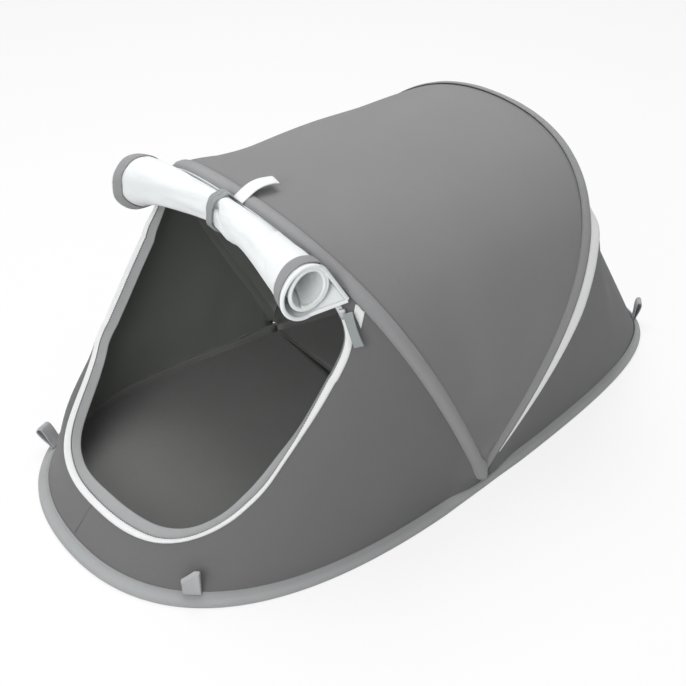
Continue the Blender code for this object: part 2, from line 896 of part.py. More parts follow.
def peg_loop(name, hoop, across, side, lean, parent):
    # Stands on the floor sleeve, rounded below so that it can tip about its root
    root = loop_cloth + loop_fold_gap / 2
    rise = side * (floor_sleeve_height - axis_height + seam_gap + root)
    t = across_t(hoop, across)
    where = hoop.point(t, -loop_outset, rise)
    along = hoop.tangent(t)
    out = hoop.point(t, -1.0) - hoop.point(t)
    out = Vector((out.x, out.y, 0)).normalized()
    up = Vector((0, 0, 1))
    tilt = math.radians(lean)
    run_out = up * math.cos(tilt) + out * math.sin(tilt)
    wide = out * math.cos(tilt) - up * math.sin(tilt)
    hinge = pivot(name + "_axis", where, parent)
    outer = resample(loop_outline(False), 12)
    inner = resample(loop_outline(True), 12)
    outer = outer + [(a, -b) for a, b in outer[-2:0:-1]]
    inner = inner + [(a, -b) for a, b in inner[-2:0:-1]]
    skins = []
    for outline in (outer, inner):
        skin = []
        for k in (-0.5, 0.5):
            skin.append([run_out * a + wide * b + along * (k * loop_webbing) for a, b in outline])
        skins.append(skin)
    place(name, tube(name, skins[0], skins[1]), loop_tape, hinge)


peg_loop("peg_loop_front_right", front_floor, loop_front_across, 1, loop_lean_front_right, base)
peg_loop("peg_loop_front_left", front_floor, -loop_front_across, 1, loop_lean_front_left, base)
peg_loop("peg_loop_rear_right", rear_floor, loop_rear_across, -1, loop_lean_rear, back_pivot)
peg_loop("peg_loop_rear_left", rear_floor, -loop_rear_across, -1, loop_lean_rear, back_pivot)
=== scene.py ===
import json
import math

import bmesh
import bpy
import numpy as np
from mathutils import Matrix, Vector, noise


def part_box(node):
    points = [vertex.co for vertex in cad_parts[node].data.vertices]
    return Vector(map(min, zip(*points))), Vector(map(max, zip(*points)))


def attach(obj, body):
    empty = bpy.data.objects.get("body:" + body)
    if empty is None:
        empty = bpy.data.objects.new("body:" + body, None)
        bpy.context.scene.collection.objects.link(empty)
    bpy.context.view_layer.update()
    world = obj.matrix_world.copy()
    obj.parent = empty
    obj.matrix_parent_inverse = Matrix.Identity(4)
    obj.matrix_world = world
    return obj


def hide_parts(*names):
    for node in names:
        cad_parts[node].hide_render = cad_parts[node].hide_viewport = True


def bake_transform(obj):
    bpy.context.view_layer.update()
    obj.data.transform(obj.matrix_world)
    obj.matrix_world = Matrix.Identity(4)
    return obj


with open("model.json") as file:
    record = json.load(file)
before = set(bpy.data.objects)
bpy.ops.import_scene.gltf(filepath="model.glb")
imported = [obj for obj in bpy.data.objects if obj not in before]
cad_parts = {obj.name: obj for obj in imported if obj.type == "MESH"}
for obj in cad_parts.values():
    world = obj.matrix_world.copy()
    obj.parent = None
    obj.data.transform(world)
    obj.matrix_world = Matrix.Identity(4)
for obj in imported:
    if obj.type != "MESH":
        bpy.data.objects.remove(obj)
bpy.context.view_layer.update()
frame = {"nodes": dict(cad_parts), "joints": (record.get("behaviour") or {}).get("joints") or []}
joints = {joint["name"]: joint for joint in frame["joints"]}
foldLine = Vector(joints["front_arch_fold"]["pos_m"])
print("frame loaded:", len(frame["nodes"]), "solids")


class Signal:
    # One output socket of a node tree, so that patterns can be written as plain maths
    def __init__(self, nodes, socket):
        self.nodes = nodes
        self.socket = socket

    def worked(self, operation, *others):
        return self.nodes.node("ShaderNodeMath", {"operation": operation}, dict(enumerate((self, *others))))

    def __add__(self, other):
        return self.worked("ADD", other)

    def __mul__(self, other):
        return self.worked("MULTIPLY", other)


class Nodes:
    # A node tree under construction: node() adds any node with its settings and input values
    def __init__(self, tree):
        self.tree = tree

    def node(self, kind, settings=None, values=None, output=0):
        made = self.tree.nodes.new(kind)
        for name, value in (settings or {}).items():
            setattr(made, name, value)
        for name, value in (values or {}).items():
            if isinstance(value, Signal):
                self.tree.links.new(value.socket, made.inputs[name])
            else:
                made.inputs[name].default_value = value
        return Signal(self, made.outputs[output])

    def raysOf(self, *kinds):
        # 1 for rays of the named kinds, 0 for all others
        path = self.tree.nodes.new("ShaderNodeLightPath")
        share, *others = (Signal(self, path.outputs[f"Is {kind} Ray"]) for kind in kinds)
        for other in others:
            share = share.worked("MAXIMUM", other)
        return share

    def mixShaders(self, share, first, second, end):
        # The surface: a blend of two shaders, joined to the named output node
        mixed = self.node("ShaderNodeMixShader", None, {0: share, 1: first, 2: second})
        self.tree.links.new(mixed.socket, self.tree.nodes[end].inputs["Surface"])


class Finish(Nodes):
    # A material under construction: mix() blends two colours, feed() and bump() join to its shader
    def __init__(self, name, roughness, **fixed):
        self.material = bpy.data.materials.new(name)
        self.material.use_nodes = True
        super().__init__(self.material.node_tree)
        self.shader = self.tree.nodes["Principled BSDF"]
        for socket, value in {"Roughness": roughness, **fixed}.items():
            self.shader.inputs[socket.replace("_", " ")].default_value = value

    def mix(self, share, first, second):
        values = {0: share, 6: first, 7: second}
        return self.node("ShaderNodeMix", {"data_type": "RGBA"}, values, output=2)

    def feed(self, socket, value):
        self.tree.links.new(value.socket, self.shader.inputs[socket])

    def bump(self, height, strength, distance):
        values = {"Strength": strength, "Distance": distance, "Height": height}
        self.feed("Normal", self.node("ShaderNodeBump", None, values))


def rgba(colour):
    return (*colour, 1)


clothShades = (0.72, 1.28)  # the darkest and the lightest places of a cloth, as shares of its colour


def clothFinish(name, colour, look):
    # Woven cloth on the piece's own flat map, in metres: threads both ways, cloudy dye, slight creasing
    finish = Finish(
        name, look["roughness"], Sheen_Weight=look["sheen"], Sheen_Roughness=0.5, Specular_IOR_Level=look["gloss"]
    )
    flat = finish.node("ShaderNodeUVMap", {"uv_map": "clothMap"})
    across = finish.node("ShaderNodeSeparateXYZ", None, {0: flat}, output=0)
    along = finish.node("ShaderNodeSeparateXYZ", None, {0: flat}, output=1)
    pitch = 2 * math.pi / look["thread"]
    weave = (across * pitch).worked("SINE") * (along * pitch).worked("SINE")
    place = finish.node("ShaderNodeTexCoord", output=3)

    def pattern(scale, detail, roughness):
        values = {"Vector": place, "Scale": scale, "Detail": detail, "Roughness": roughness}
        return finish.node("ShaderNodeTexNoise", {"noise_dimensions": "3D"}, values)

    cloud = pattern(look["cloudScale"], 3.0, 0.55)
    fine = pattern(look["fineScale"], 2.0, 0.6)
    tone = cloud * look["cloud"] + fine * look["fine"] + weave * look["threadShade"]
    level = tone + (0.5 - 0.5 * look["cloud"] - 0.5 * look["fine"])
    dark, light = ([min(1.0, c * shade) for c in colour] for shade in clothShades)
    finish.feed("Base Color", finish.mix(level, rgba(dark), rgba(light)))
    finish.bump(weave * look["threadDepth"] + cloud * look["crease"] + fine * look["grit"], 1.0, 0.001)
    return finish.material


# Each cloth's colour, then its values in the order of lookNames; thread is the threads' pitch in metres
lookNames = (
    "roughness", "sheen", "gloss", "thread", "cloudScale", "fineScale",
    "cloud", "fine", "threadShade", "threadDepth", "crease", "grit",
)
clothLooks = {
    "tentCloth": ((0.192, 0.192, 0.194), 0.82, 0.12, 0.25, 0.0011, 9.0, 160.0, 0.16, 0.1, 0.05, 0.1, 0.9, 0.12),
    # The front and rear walls' cloth is the canopy's cloth made darker: painted shade, because they get less light
    # than the canopy
    "panelClothPaintedShade": ((0.138, 0.138, 0.14), 0.82, 0.12, 0.25, 0.0011, 9.0, 160.0, 0.16, 0.1, 0.05, 0.1, 0.9, 0.12),
    "facingTape": ((0.35, 0.358, 0.361), 0.6, 0.15, 0.35, 0.0016, 18.0, 220.0, 0.2, 0.16, 0.1, 0.22, 0.5, 0.12),
    "tentLining": ((0.205, 0.215, 0.204), 0.7, 0.0, 0.25, 0.0011, 9.0, 160.0, 0.16, 0.08, 0.05, 0.08, 0.9, 0.1),
    "floorCloth": ((0.205, 0.21, 0.203), 0.8, 0.05, 0.25, 0.0014, 7.0, 140.0, 0.2, 0.12, 0.06, 0.14, 1.5, 0.16),
    "archTape": ((0.255, 0.256, 0.261), 0.62, 0.15, 0.35, 0.0016, 14.0, 220.0, 0.16, 0.16, 0.1, 0.22, 0.35, 0.12),
    "floorTape": ((0.33, 0.34, 0.343), 0.6, 0.15, 0.35, 0.0016, 16.0, 220.0, 0.22, 0.16, 0.1, 0.22, 0.4, 0.12),
    "whiteTape": ((0.86, 0.88, 0.886), 0.6, 0.2, 0.3, 0.0014, 20.0, 240.0, 0.08, 0.08, 0.05, 0.18, 0.3, 0.1),
    "doorCloth": ((0.745, 0.768, 0.775), 0.75, 0.12, 0.2, 0.0012, 22.0, 180.0, 0.16, 0.06, 0.03, 0.1, 3.2, 0.1),
    "tieTape": ((0.27, 0.29, 0.294), 0.5, 0.2, 0.4, 0.0022, 26.0, 240.0, 0.25, 0.16, 0.16, 0.3, 0.4, 0.12),
    "loopTape": ((0.385, 0.396, 0.408), 0.6, 0.15, 0.35, 0.0022, 30.0, 240.0, 0.2, 0.16, 0.14, 0.28, 0.3, 0.12),
    "zipTeeth": ((0.105, 0.106, 0.108), 0.5, 0.0, 0.4, 0.0012, 40.0, 300.0, 0.2, 0.1, 0.1, 0.1, 0.1, 0.05),
    "sewingThread": ((0.33, 0.334, 0.338), 0.55, 0.1, 0.4, 0.0008, 60.0, 400.0, 0.2, 0.1, 0.1, 0.1, 0.1, 0.05),
}
paint = {
    name: clothFinish(name, colour, dict(zip(lookNames, look)))
    for name, (colour, *look) in clothLooks.items()
}


def metalFinish(name, colour, roughness):
    # Plated metal with faint brush marks
    finish = Finish(name, roughness, Metallic=1.0)
    place = finish.node("ShaderNodeTexCoord", output=3)
    marks = finish.node("ShaderNodeTexNoise", None, {"Vector": place, "Scale": 900.0, "Detail": 3.0})
    finish.feed("Base Color", finish.mix(marks, rgba([c * 0.85 for c in colour]), rgba(colour)))
    finish.feed("Roughness", marks * 0.25 + (roughness - 0.1))
    finish.bump(marks, 0.15, 0.0002)
    return finish.material


paint["springSteel"] = metalFinish("springSteel", (0.30, 0.30, 0.31), 0.42)
paint["zipMetal"] = metalFinish("zipMetal", (0.30, 0.30, 0.31), 0.45)
print("finishes made:", len(paint))

plan = {
    "halfSpan": 0.266,
    "frontFloor": {"flare": 0.131, "shoulder": 0.243, "crown": 0.304, "reach": 0.547, "lean": 0.0},
    "rearFloor": {"flare": -0.131, "shoulder": 0.4995, "crown": 0.149, "reach": 0.550, "lean": 180.0},
    "frontArch": {"flare": 0.147, "shoulder": 0.334, "crown": 0.276, "reach": 0.493, "lean": 61.2},
    "rearArch": {"flare": 0.100, "shoulder": 0.150, "crown": 0.357, "reach": 0.510, "lean": 119.4},
    "floorSleeveWidth": 0.008,
    "floorSleeveHeight": 0.016,
    "archSleeveWidth": 0.018,
    "archSleeveThickness": 0.0055,
    "runningGap": 0.0016,
    "wallSetback": 0.005,
}
archOffset = (plan["archSleeveThickness"] + plan["runningGap"]) / 2


def bezierAt(handles, s):
    a, b, c, d = handles
    k = 1 - s
    return a * k**3 + b * (3 * k * k * s) + c * (3 * k * s * s) + d * s**3


def lastBelow(low, high, rounds, isBelow):
    # Halves the range again and again, towards the place where isBelow() stops being true
    for _ in range(rounds):
        middle = (low + high) / 2
        if isBelow(middle):
            low = middle
        else:
            high = middle
    return low


class HoopHalf:
    # Half of a sprung hoop in its leaning plane; t goes from -1 at the left side point to 1 at the right
    def __init__(self, side, shape):
        flare, shoulder, reach = (shape[name] for name in ("flare", "shoulder", "reach"))
        places = ((side, 0.0), (side + flare * shoulder, shoulder), (shape["crown"], reach), (0.0, reach))
        handles = [Vector(place) for place in places]
        self.lean = math.radians(shape["lean"])
        self.steps = 240
        self.track = [bezierAt(handles, i / self.steps) for i in range(self.steps + 1)]
        run = [(b - a).length for a, b in zip(self.track, self.track[1:])]
        self.lengths = np.concatenate(([0.0], np.cumsum(run)))
        self.length = float(self.lengths[-1])

    def flat(self, t):
        wanted = (1 - abs(t)) * self.length
        if wanted <= 0:
            away = (self.track[0] - self.track[1]).normalized()
            spot = self.track[0] - away * wanted
        else:
            k = min(self.steps - 1, int(np.searchsorted(self.lengths, wanted, side="right")) - 1)
            part = (wanted - self.lengths[k]) / (self.lengths[k + 1] - self.lengths[k])
            spot = self.track[k].lerp(self.track[k + 1], float(part))
        return Vector((math.copysign(spot.x, t) if t else 0.0, spot.y))

    def inward(self, t):
        along = (self.flat(t + 0.004) - self.flat(t - 0.004)).normalized()
        return Vector((along.y, -along.x))

    def point(self, t, inset=0.0, shift=0.0):
        # inset goes inwards in the hoop's plane, shift goes square to it, towards the rear
        spot = self.flat(t) + self.inward(t) * inset
        c, s = math.cos(self.lean), math.sin(self.lean)
        return foldLine + Vector((spot.x, -c * spot.y + s * shift, s * spot.y + c * shift))

    def tangent(self, t):
        return (self.point(t + 0.003) - self.point(t - 0.003)).normalized()

    def towardsMiddle(self, t):
        return (self.point(t, 0.01) - self.point(t)).normalized()

    def square(self):
        return Vector((0.0, math.sin(self.lean), math.cos(self.lean)))

    def acrossT(self, x):
        # Place above the hoop's widest point that lies x off the middle
        return math.copysign(lastBelow(0.0, 0.55, 30, lambda t: self.flat(t).x < abs(x)), x)


frontFloor = HoopHalf(plan["halfSpan"], plan["frontFloor"])
rearFloor = HoopHalf(plan["halfSpan"], plan["rearFloor"])
frontArch = HoopHalf(plan["halfSpan"] + archOffset, plan["frontArch"])
rearArch = HoopHalf(plan["halfSpan"] - archOffset, plan["rearArch"])
tentMiddle = Vector((0.0, 0.0, 0.12))


def foldAngle(spot):
    # Angle round the fold line, from the front floor over the top to the rear floor
    turn = math.atan2(spot.z - foldLine.z, foldLine.y - spot.y)
    return turn + 2 * math.pi if turn < -math.pi / 2 else turn


def shapedGrid(columns, rows, shapeAt):
    # A flat grid whose points are moved by shapeAt(u, v) -> place, flat place in metres, share of the fold
    made = bmesh.new()
    bmesh.ops.create_grid(made, x_segments=columns, y_segments=rows, size=0.5)
    flatMap = made.loops.layers.uv.new("clothMap")
    share = made.verts.layers.float.new("wallShare")
    flats = {}
    for vert in made.verts:
        spot, flat, part = shapeAt(vert.co.x + 0.5, vert.co.y + 0.5)
        flats[vert] = flat
        vert.co = spot
        vert[share] = part
    for face in made.faces:
        for loop in face.loops:
            loop[flatMap].uv = flats[loop.vert]
    bmesh.ops.remove_doubles(made, verts=made.verts, dist=0.00001)
    return made


def faceAway(made, middle):
    # Turns an open sheet so that its faces look away from a point
    made.normal_update()
    facing = sum(face.normal.dot(face.calc_center_median() - middle) * face.calc_area() for face in made.faces)
    if facing < 0:
        bmesh.ops.reverse_faces(made, faces=made.faces)


def closeTube(made):
    # Caps both ends of a tube and turns its faces outwards
    rims = [edge for edge in made.edges if edge.is_boundary]
    bmesh.ops.holes_fill(made, edges=rims, sides=0)
    bmesh.ops.recalc_face_normals(made, faces=made.faces)


def addPiece(name, made, *materials, sharp=50):
    mesh = bpy.data.meshes.new(name)
    made.to_mesh(mesh)
    made.free()
    for material in materials:
        mesh.materials.append(material)
    mesh.shade_smooth()
    mesh.set_sharp_from_angle(angle=math.radians(sharp))
    piece = bpy.data.objects.new(name, mesh)
    bpy.context.scene.collection.objects.link(piece)
    return piece


def thicken(piece, thickness, offset=0.0, lining=0):
    # Gives a sheet its thickness; lining is the material slot of the inner side
    solid = piece.modifiers.new("thickness", "SOLIDIFY")
    solid.thickness = thickness
    solid.offset = offset
    solid.use_even_offset = False
    solid.material_offset = lining
    return piece


def softEdges(piece, width):
    rounding = piece.modifiers.new("soft edges", "BEVEL")
    rounding.width = width
    rounding.segments = 2
    rounding.limit_method = "ANGLE"
    rounding.angle_limit = math.radians(50)
    return piece


def clothSheet(name, cloth, thickness, grid, shapeAt, middle=tentMiddle, lined=False, offset=0.0):
    # A sheet with thickness, its outer faces turned away from a point
    made = shapedGrid(*grid, shapeAt)
    faceAway(made, middle)
    lining = (paint["tentLining"],) if lined else ()
    return thicken(addPiece(name, made, paint[cloth], *lining), thickness, offset, int(lined))


def bendWith(piece, first, second):
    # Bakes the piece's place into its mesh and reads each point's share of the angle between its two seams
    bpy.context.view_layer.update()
    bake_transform(piece)
    shares = np.zeros(len(piece.data.vertices), np.float32)
    piece.data.attributes["wallShare"].data.foreach_get("value", shares)


# Parents a piece to the body it rides on, or bakes it in place when it has two bodies, and hides the solid it stands
# for; slot is not used
def seat(piece, slot, node, *bodies):
    # Says what a piece rides on or bends between, which solid it stands for and its colour slot
    if len(bodies) == 1:
        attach(piece, bodies[0])
    else:
        bendWith(piece, *bodies)
    if node:
        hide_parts(node)
    return piece


def ripple(spot, size, seed):
    return noise.noise(spot / size + Vector((seed, seed * 0.7, -seed)))


def softPower(value, power):
    return math.copysign(abs(value) ** power, value)


def between(first, last, share):
    return first + (last - first) * share


def swellAt(value, at, width):
    # Rises to 1 at a place and fades within a width on both sides
    return math.exp(-(((value - at) / width) ** 2))


def blendBetween(low, high, value):
    s = max(0.0, min(1.0, (value - low) / (high - low)))
    return s * s * (3 - 2 * s)


walls = {
    "columns": 150,
    "canopyRows": 40,
    "rearRows": 40,
    "clothThickness": 0.0010,
    "seamInset": 0.0018,  # runs a little way into the arch sleeves
    "seamShift": 0.0045,
    "bulge": 0.0135,  # of the front wall towards the left side point
    "slack": 0.0016,
    "slackSize": 0.085,
    "sag": 0.0022,
    "pull": 0.0010,
    "pullWaves": 46,
    "tapeRun": 0.0050,  # from the rear seam to the sleeve's edge
    "tapeWidth": 0.0180,
    "tapeTaper": 0.36,
    "tapeLean": (62.0, -8.0),  # how far the white tape leans in, over the top and at the sides
    "tapeLeanAt": (0.29, 0.43),
    "saddle": (0.0085, 0.20, 0.16),  # hollow of the canopy behind the front arch: depth, place, width
    "tapeEnd": 0.955,
    "tapeShare": 0.12,
}
sideEnd = {hoop: 1 - plan["wallSetback"] / hoop.length for hoop in (frontFloor, rearFloor, frontArch, rearArch)}


def archSeam(hoop, t, side):
    return hoop.point(t * sideEnd[hoop], walls["seamInset"], side * walls["seamShift"])


groundTape = {
    "width": {frontFloor: 0.0215, rearFloor: 0.0200},
    "lean": {frontFloor: 48.0, rearFloor: 26.0},
    "level": 0.0006,
    "foot": 0.0035,  # outwards of the wire
    "hump": 0.0054,
    "humpAt": 0.0075,
    "humpWidth": 0.0072,
    "edge": 0.0009,
    "under": 0.0012,
    "seamShare": 0.8,
    "seamUnder": 0.0022,
    "stitchInset": 0.0034,
    "stitchRise": 0.0016,
}


def groundFrame(hoop, t):
    # Foot of the folded tape on the ground, its way up, its way out and how freely it leans
    held = 1 - blendBetween(0.86, 0.985, abs(t))
    inside = hoop.towardsMiddle(t)
    lean = math.radians(groundTape["lean"][hoop]) * held
    up = Vector((0, 0, math.cos(lean))) + inside * math.sin(lean)
    out = Vector((0, 0, math.sin(lean))) - inside * math.cos(lean)
    foot = hoop.point(t)
    foot.z = groundTape["level"]
    return foot - inside * (groundTape["foot"] * held), up, out, held


def groundSeam(hoop, t):
    foot, up, out, held = groundFrame(hoop, t * sideEnd[hoop])
    width = between(plan["floorSleeveHeight"], groundTape["width"][hoop], held)
    return foot + up * (width * groundTape["seamShare"]) - out * (groundTape["seamUnder"] * held)


def foldShare(spot, a, b, w):
    # Share of the fold's angle, even between the two seams, and plain close to the side points
    near = min(math.hypot(end.y - foldLine.y, end.z - foldLine.z) for end in (a, b))
    span = foldAngle(b) - foldAngle(a)
    part = (foldAngle(spot) - foldAngle(a)) / span if abs(span) > 1e-4 else w
    part += (w - part) * (1 - blendBetween(0.012, 0.05, near))
    return max(0.0, min(1.0, part))


def saddle(t, w):
    depth, at, width = walls["saddle"]
    return -depth * swellAt(w, at, width) * min(1.0, 8 * w) * (1 - blendBetween(0.45, 0.9, abs(t)))


def ruledWall(first, second, ridge=None, bulge=None):
    # Straight rulings between two seams with some slack, a ridge beside the first and a bulge
    turn = walls["tapeShare"]

    def shapeAt(t, w, slack=1.0):
        a, b = first(t), second(t)
        if ridge is None:
            spot = a.lerp(b, w)
        else:
            crest = ridge(t)
            spot = a.lerp(crest, w / turn) if w < turn else crest.lerp(b, (w - turn) / (1 - turn))
        out = (spot - tentMiddle).normalized()
        hold = min(1.0, 5.0 * w * (1 - w)) * blendBetween(0.0, 0.25, 1 - abs(t))
        if ridge is not None:
            hold *= blendBetween(turn, turn + 0.15, w)
        wave = ripple(spot, walls["slackSize"], 3.1) * walls["slack"]
        pulls = math.sin(abs(t) * walls["pullWaves"] + 3 * w) * walls["pull"] * blendBetween(0.55, 0.95, abs(t))
        sag = -walls["sag"] * math.sin(math.pi * w)
        fullness = bulge(t, w) if bulge else 0.0
        spot = spot + out * ((wave + pulls + sag) * hold * slack + fullness)
        return spot, foldShare(spot, a, b, w)

    return shapeAt


def tapeLie(t):
    # Direction in which the white tape stands out from the rear arch
    top, side = walls["tapeLean"]
    lean = math.radians(between(top, side, blendBetween(*walls["tapeLeanAt"], abs(t))))
    return rearArch.square() * math.cos(lean) + rearArch.towardsMiddle(t) * math.sin(lean)


def tapeWidthAt(t):
    return walls["tapeWidth"] * max(0.03, min(1.0, (walls["tapeEnd"] - abs(t)) / walls["tapeTaper"]))


def rearRidge(t):
    return archSeam(rearArch, t, 1) + tapeLie(t) * (walls["tapeRun"] + tapeWidthAt(t))


canopyAt = ruledWall(lambda t: archSeam(frontArch, t, 1), lambda t: archSeam(rearArch, t, -1), bulge=saddle)
rearAt = ruledWall(lambda t: archSeam(rearArch, t, 1), lambda t: groundSeam(rearFloor, t), rearRidge)
frontAt = ruledWall(
    lambda t: groundSeam(frontFloor, t),
    lambda t: archSeam(frontArch, t, -1),
    bulge=lambda t, w: (
        walls["bulge"] * swellAt(t, -0.46, 0.2) * math.sin(math.pi * w) ** 2
        * (1 - 0.5 * blendBetween(0.72, 1.0, w)) * between(0.2, 1.0, blendBetween(0.22, 0.42, w))
    ),
)


def wallPiece(name, wallAt, rows, hoop, cloth, drop):
    # A whole wall; drop is how long its cloth is from seam to seam on the flat map
    def shapeAt(u, v):
        t = 2 * u - 1
        spot, part = wallAt(t, v)
        return spot, (t * hoop.length, v * drop), part

    return clothSheet(name, cloth, walls["clothThickness"], (walls["columns"], rows), shapeAt, lined=True)


canopyCloth = wallPiece("canopyCloth", canopyAt, walls["canopyRows"], frontArch, "tentCloth", drop=0.50)
seat(canopyCloth, "wall_cloth", "canopy", "front_arch", "rear_arch")
rearWall = wallPiece("rearWall", rearAt, walls["rearRows"], rearArch, "panelClothPaintedShade", drop=0.54)
seat(rearWall, "wall_cloth", "rear_wall", "rear_arch", "rear_floor")
print("canopy and rear wall made")


mouth = {
    "halfWidthTop": 0.2375,
    "halfWidthSill": 0.2255,
    "sillHeight": 0.0575,
    "headDrop": 0.017,
    "waist": 0.355,
    "sillSquareness": 4.0,
    "headSquareness": 8.0,
    "along": (84, 12, 84, 12),
    "wallRows": 24,
    "wallCrowding": 1.6,
    "puffAt": 0.011,
    "standFade": 0.06,
    "tapeRows": 8,
    "tapeWidth": 0.014,
    "facingRows": 8,
    "facingWidth": 0.024,
    "tapeThickness": 0.0011,
    "join": 0.0004,
    "coilAround": 6,
    "coilWidth": 0.007,
    "coilRadius": 0.0012,
    "coilTooth": 0.22,
    "coilPitch": 3,
}
# Round the mouth: the station, then in mm how far the tape runs in the wall's plane and turns inwards,
# the same for the facing, the tape's swell, how far the edge stands out of the wall, how far the cloth
# beside it puffs up, and how far the edge lies inside the plain outline
mouthEdge = [
    (0, 3, 8.5, 1, 14, 0.4, 6.5, 2, 0), (11, 3, 7.5, 1, 13, 0.4, 9, 1.5, 0), (22, 3, 6, 2, 10, 0.6, 7, 1, 0),
    (30, 4, 5, 4, 5, 1.2, 3, 0.5, 0), (50, 6, 3, 4, 4, 2, 0, 0, 0), (62, 9, 3, 0.5, 8, 2.2, 0, 0, 0),
    (80, 9.5, 3, 0, 9, 2.4, 0, 0, 0.5), (84, 9, 3, 0, 9, 2.4, 0, 0, 1.8), (88, 7.6, 3, 0.3, 9, 2.4, 0, 0, 4.6),
    (91.5, 4, 3, 2, 9, 2.4, 0, 0, 10), (95, 3.4, 3, 7, 8, 2.4, 0, 0, 14.5), (107, 4, 3, 9, 6, 2.4, 0, 0, 14),
    (114, 4.6, 3, 9, 5, 2.4, 0, 0, 13), (120, 4.4, 3.5, 8, 5, 2.4, 0, 0, 8), (124, 3.4, 4, 10, 5, 2.4, 0, 0, 3.9),
    (127.5, 4.6, 4, 15, 5, 2.4, 0, 0, 0.7), (131, 9, 4, 17, 4, 2.4, 0, 0, 1.1), (136, 9.5, 3, 19, 3, 2.2, 0, 0, 1.4),
    (141, 9, 5, 15, 6, 1.6, 0, 1, -1), (145, 8, 8, 9, 10, 1, 0, 2, 0), (150, 6, 8.5, 4, 13, 0.6, 0, 4, 0),
    (153, 4, 8.5, 2, 14, 0.5, 0, 9, 0), (156, 3.5, 8.5, 1, 14, 0.4, 1.5, 10, 0), (160, 3, 8.5, 1, 14, 0.4, 5, 8, 0),
    (168, 3, 8.5, 1, 14, 0.4, 9, 2.5, 0), (174, 3, 8.5, 1, 14, 0.4, 7, 2, 0), (180, 3, 8.5, 1, 14, 0.4, 5, 2, 0),
    (184, 3, 8.5, 1, 14, 0.4, 3, 2, 0), (190, 3, 8.5, 1, 14, 0.4, 5, 2, 0), (192, 3, 8.5, 1, 14, 0.4, 6.5, 2, 0),
]
mouthCount = sum(mouth["along"])


def evened(column):
    # The table's column at every station, in metres, with its steps smoothed
    places = [row[0] for row in mouthEdge]
    values = np.interp(np.arange(mouthCount), places, [row[column] / 1000 for row in mouthEdge])
    for _ in range(3):
        values = (np.roll(values, 1) + 2 * values + np.roll(values, -1)) / 4
    return np.append(values, values[0])


edgeColumns = [evened(column) for column in range(1, len(mouthEdge[0]))]


def edgeAt(u):
    place = (u % 1.0) * mouthCount
    return [float(np.interp(place, np.arange(mouthCount + 1), column)) for column in edgeColumns]


wallDrop = (groundSeam(frontFloor, 0) - archSeam(frontArch, 0, -1)).length
rimHalf = mouth["halfWidthTop"] / frontFloor.length


def rimAt(u):
    # Goes once round the wall's outer edge: along the arch, down, back along the ground, up
    counts = mouth["along"]
    place = u * mouthCount
    if place <= counts[0]:
        return 2 * place / counts[0] - 1, 0.0
    place -= counts[0]
    if place <= counts[1]:
        return 1.0, place / counts[1]
    place -= counts[1]
    if place <= counts[2]:
        return 1 - 2 * place / counts[2], 1.0
    return -1.0, 1 - (place - counts[2]) / counts[3]


def wallSpot(t, w):
    # w runs down from the arch here
    return frontAt(t, 1 - w, 0.0)[0]


def mouthPoint(across, down):
    # Point of the mouth's outline in a direction from its waist
    sill = 1 - mouth["sillHeight"] / wallDrop
    head = mouth["headDrop"] / wallDrop
    below = down > mouth["waist"]
    reach = (sill - mouth["waist"]) if below else (mouth["waist"] - head)
    power = mouth["sillSquareness"] if below else mouth["headSquareness"]
    u = across / rimHalf
    v = (down - mouth["waist"]) / reach
    size = (abs(u) ** power + abs(v) ** power) ** (-1 / power)
    w = mouth["waist"] + v * size * reach
    half = between(mouth["halfWidthTop"], mouth["halfWidthSill"], w)
    x = abs(u) * size * half

    def isBelow(t):
        return between(archSeam(frontArch, t, -1).x, groundSeam(frontFloor, t).x, w) < x

    return math.copysign(lastBelow(0.0, 0.8, 24, isBelow), across), w


def spotOnLine(line, u):
    # Reads a closed line of (t, w) places at any share of the way round
    place = (u % 1.0) * len(line)
    k = int(place) % len(line)
    return tuple(between(a, b, place - int(place)) for a, b in zip(line[k], line[(k + 1) % len(line)]))


cutLine = [mouthPoint(*rimAt(i / mouthCount)) for i in range(mouthCount)]


def wallOut(t, w):
    # Outward direction of the front wall's cloth
    across = wallSpot(t + 0.01, w) - wallSpot(t - 0.01, w)
    down = wallSpot(t, min(0.999, w + 0.01)) - wallSpot(t, max(0.001, w - 0.01))
    return down.cross(across).normalized()


def edgeFrame(u):
    # Place on the mouth's edge, into the opening and out of the cloth
    t, w = spotOnLine(cutLine, u)
    before, after = spotOnLine(cutLine, u - 0.004), spotOnLine(cutLine, u + 0.004)
    along = (wallSpot(*after) - wallSpot(*before)).normalized()
    place, out = wallSpot(t, w), wallOut(t, w)
    inward = along.cross(out).normalized()
    if inward.dot(wallSpot(0.0, mouth["waist"]) - place) < 0:
        inward = -inward
    return place, inward, out


def frontWallAt(u, v):
    v **= mouth["wallCrowding"]
    rim = rimAt(u % 1.0) if 0 < u < 1 else (-1.0, 0.0)
    t, w = (between(a, b, v) for a, b in zip(spotOnLine(cutLine, u), rim))
    spot, part = frontAt(t, 1 - w, blendBetween(0.0, 0.3, v))
    place, inward, out = edgeFrame(u)
    stand, puff, inset = edgeAt(u)[5:]
    away = (wallSpot(*rim) - place).length * v
    near = away / mouth["puffAt"]
    raised = stand * swellAt(away, 0.0, mouth["standFade"]) + puff * near * math.exp(1 - near)
    spot = spot + out * (raised * (1 - blendBetween(0.6, 1.0, v))) + inward * (inset * (1 - v) ** 2)
    return spot, (t * frontFloor.length, w * wallDrop), part


frontWall = clothSheet(
    "frontWall", "panelClothPaintedShade", walls["clothThickness"], (mouthCount, mouth["wallRows"]), frontWallAt, lined=True
)
seat(frontWall, "wall_cloth", "front_wall", "front_floor", "front_arch")


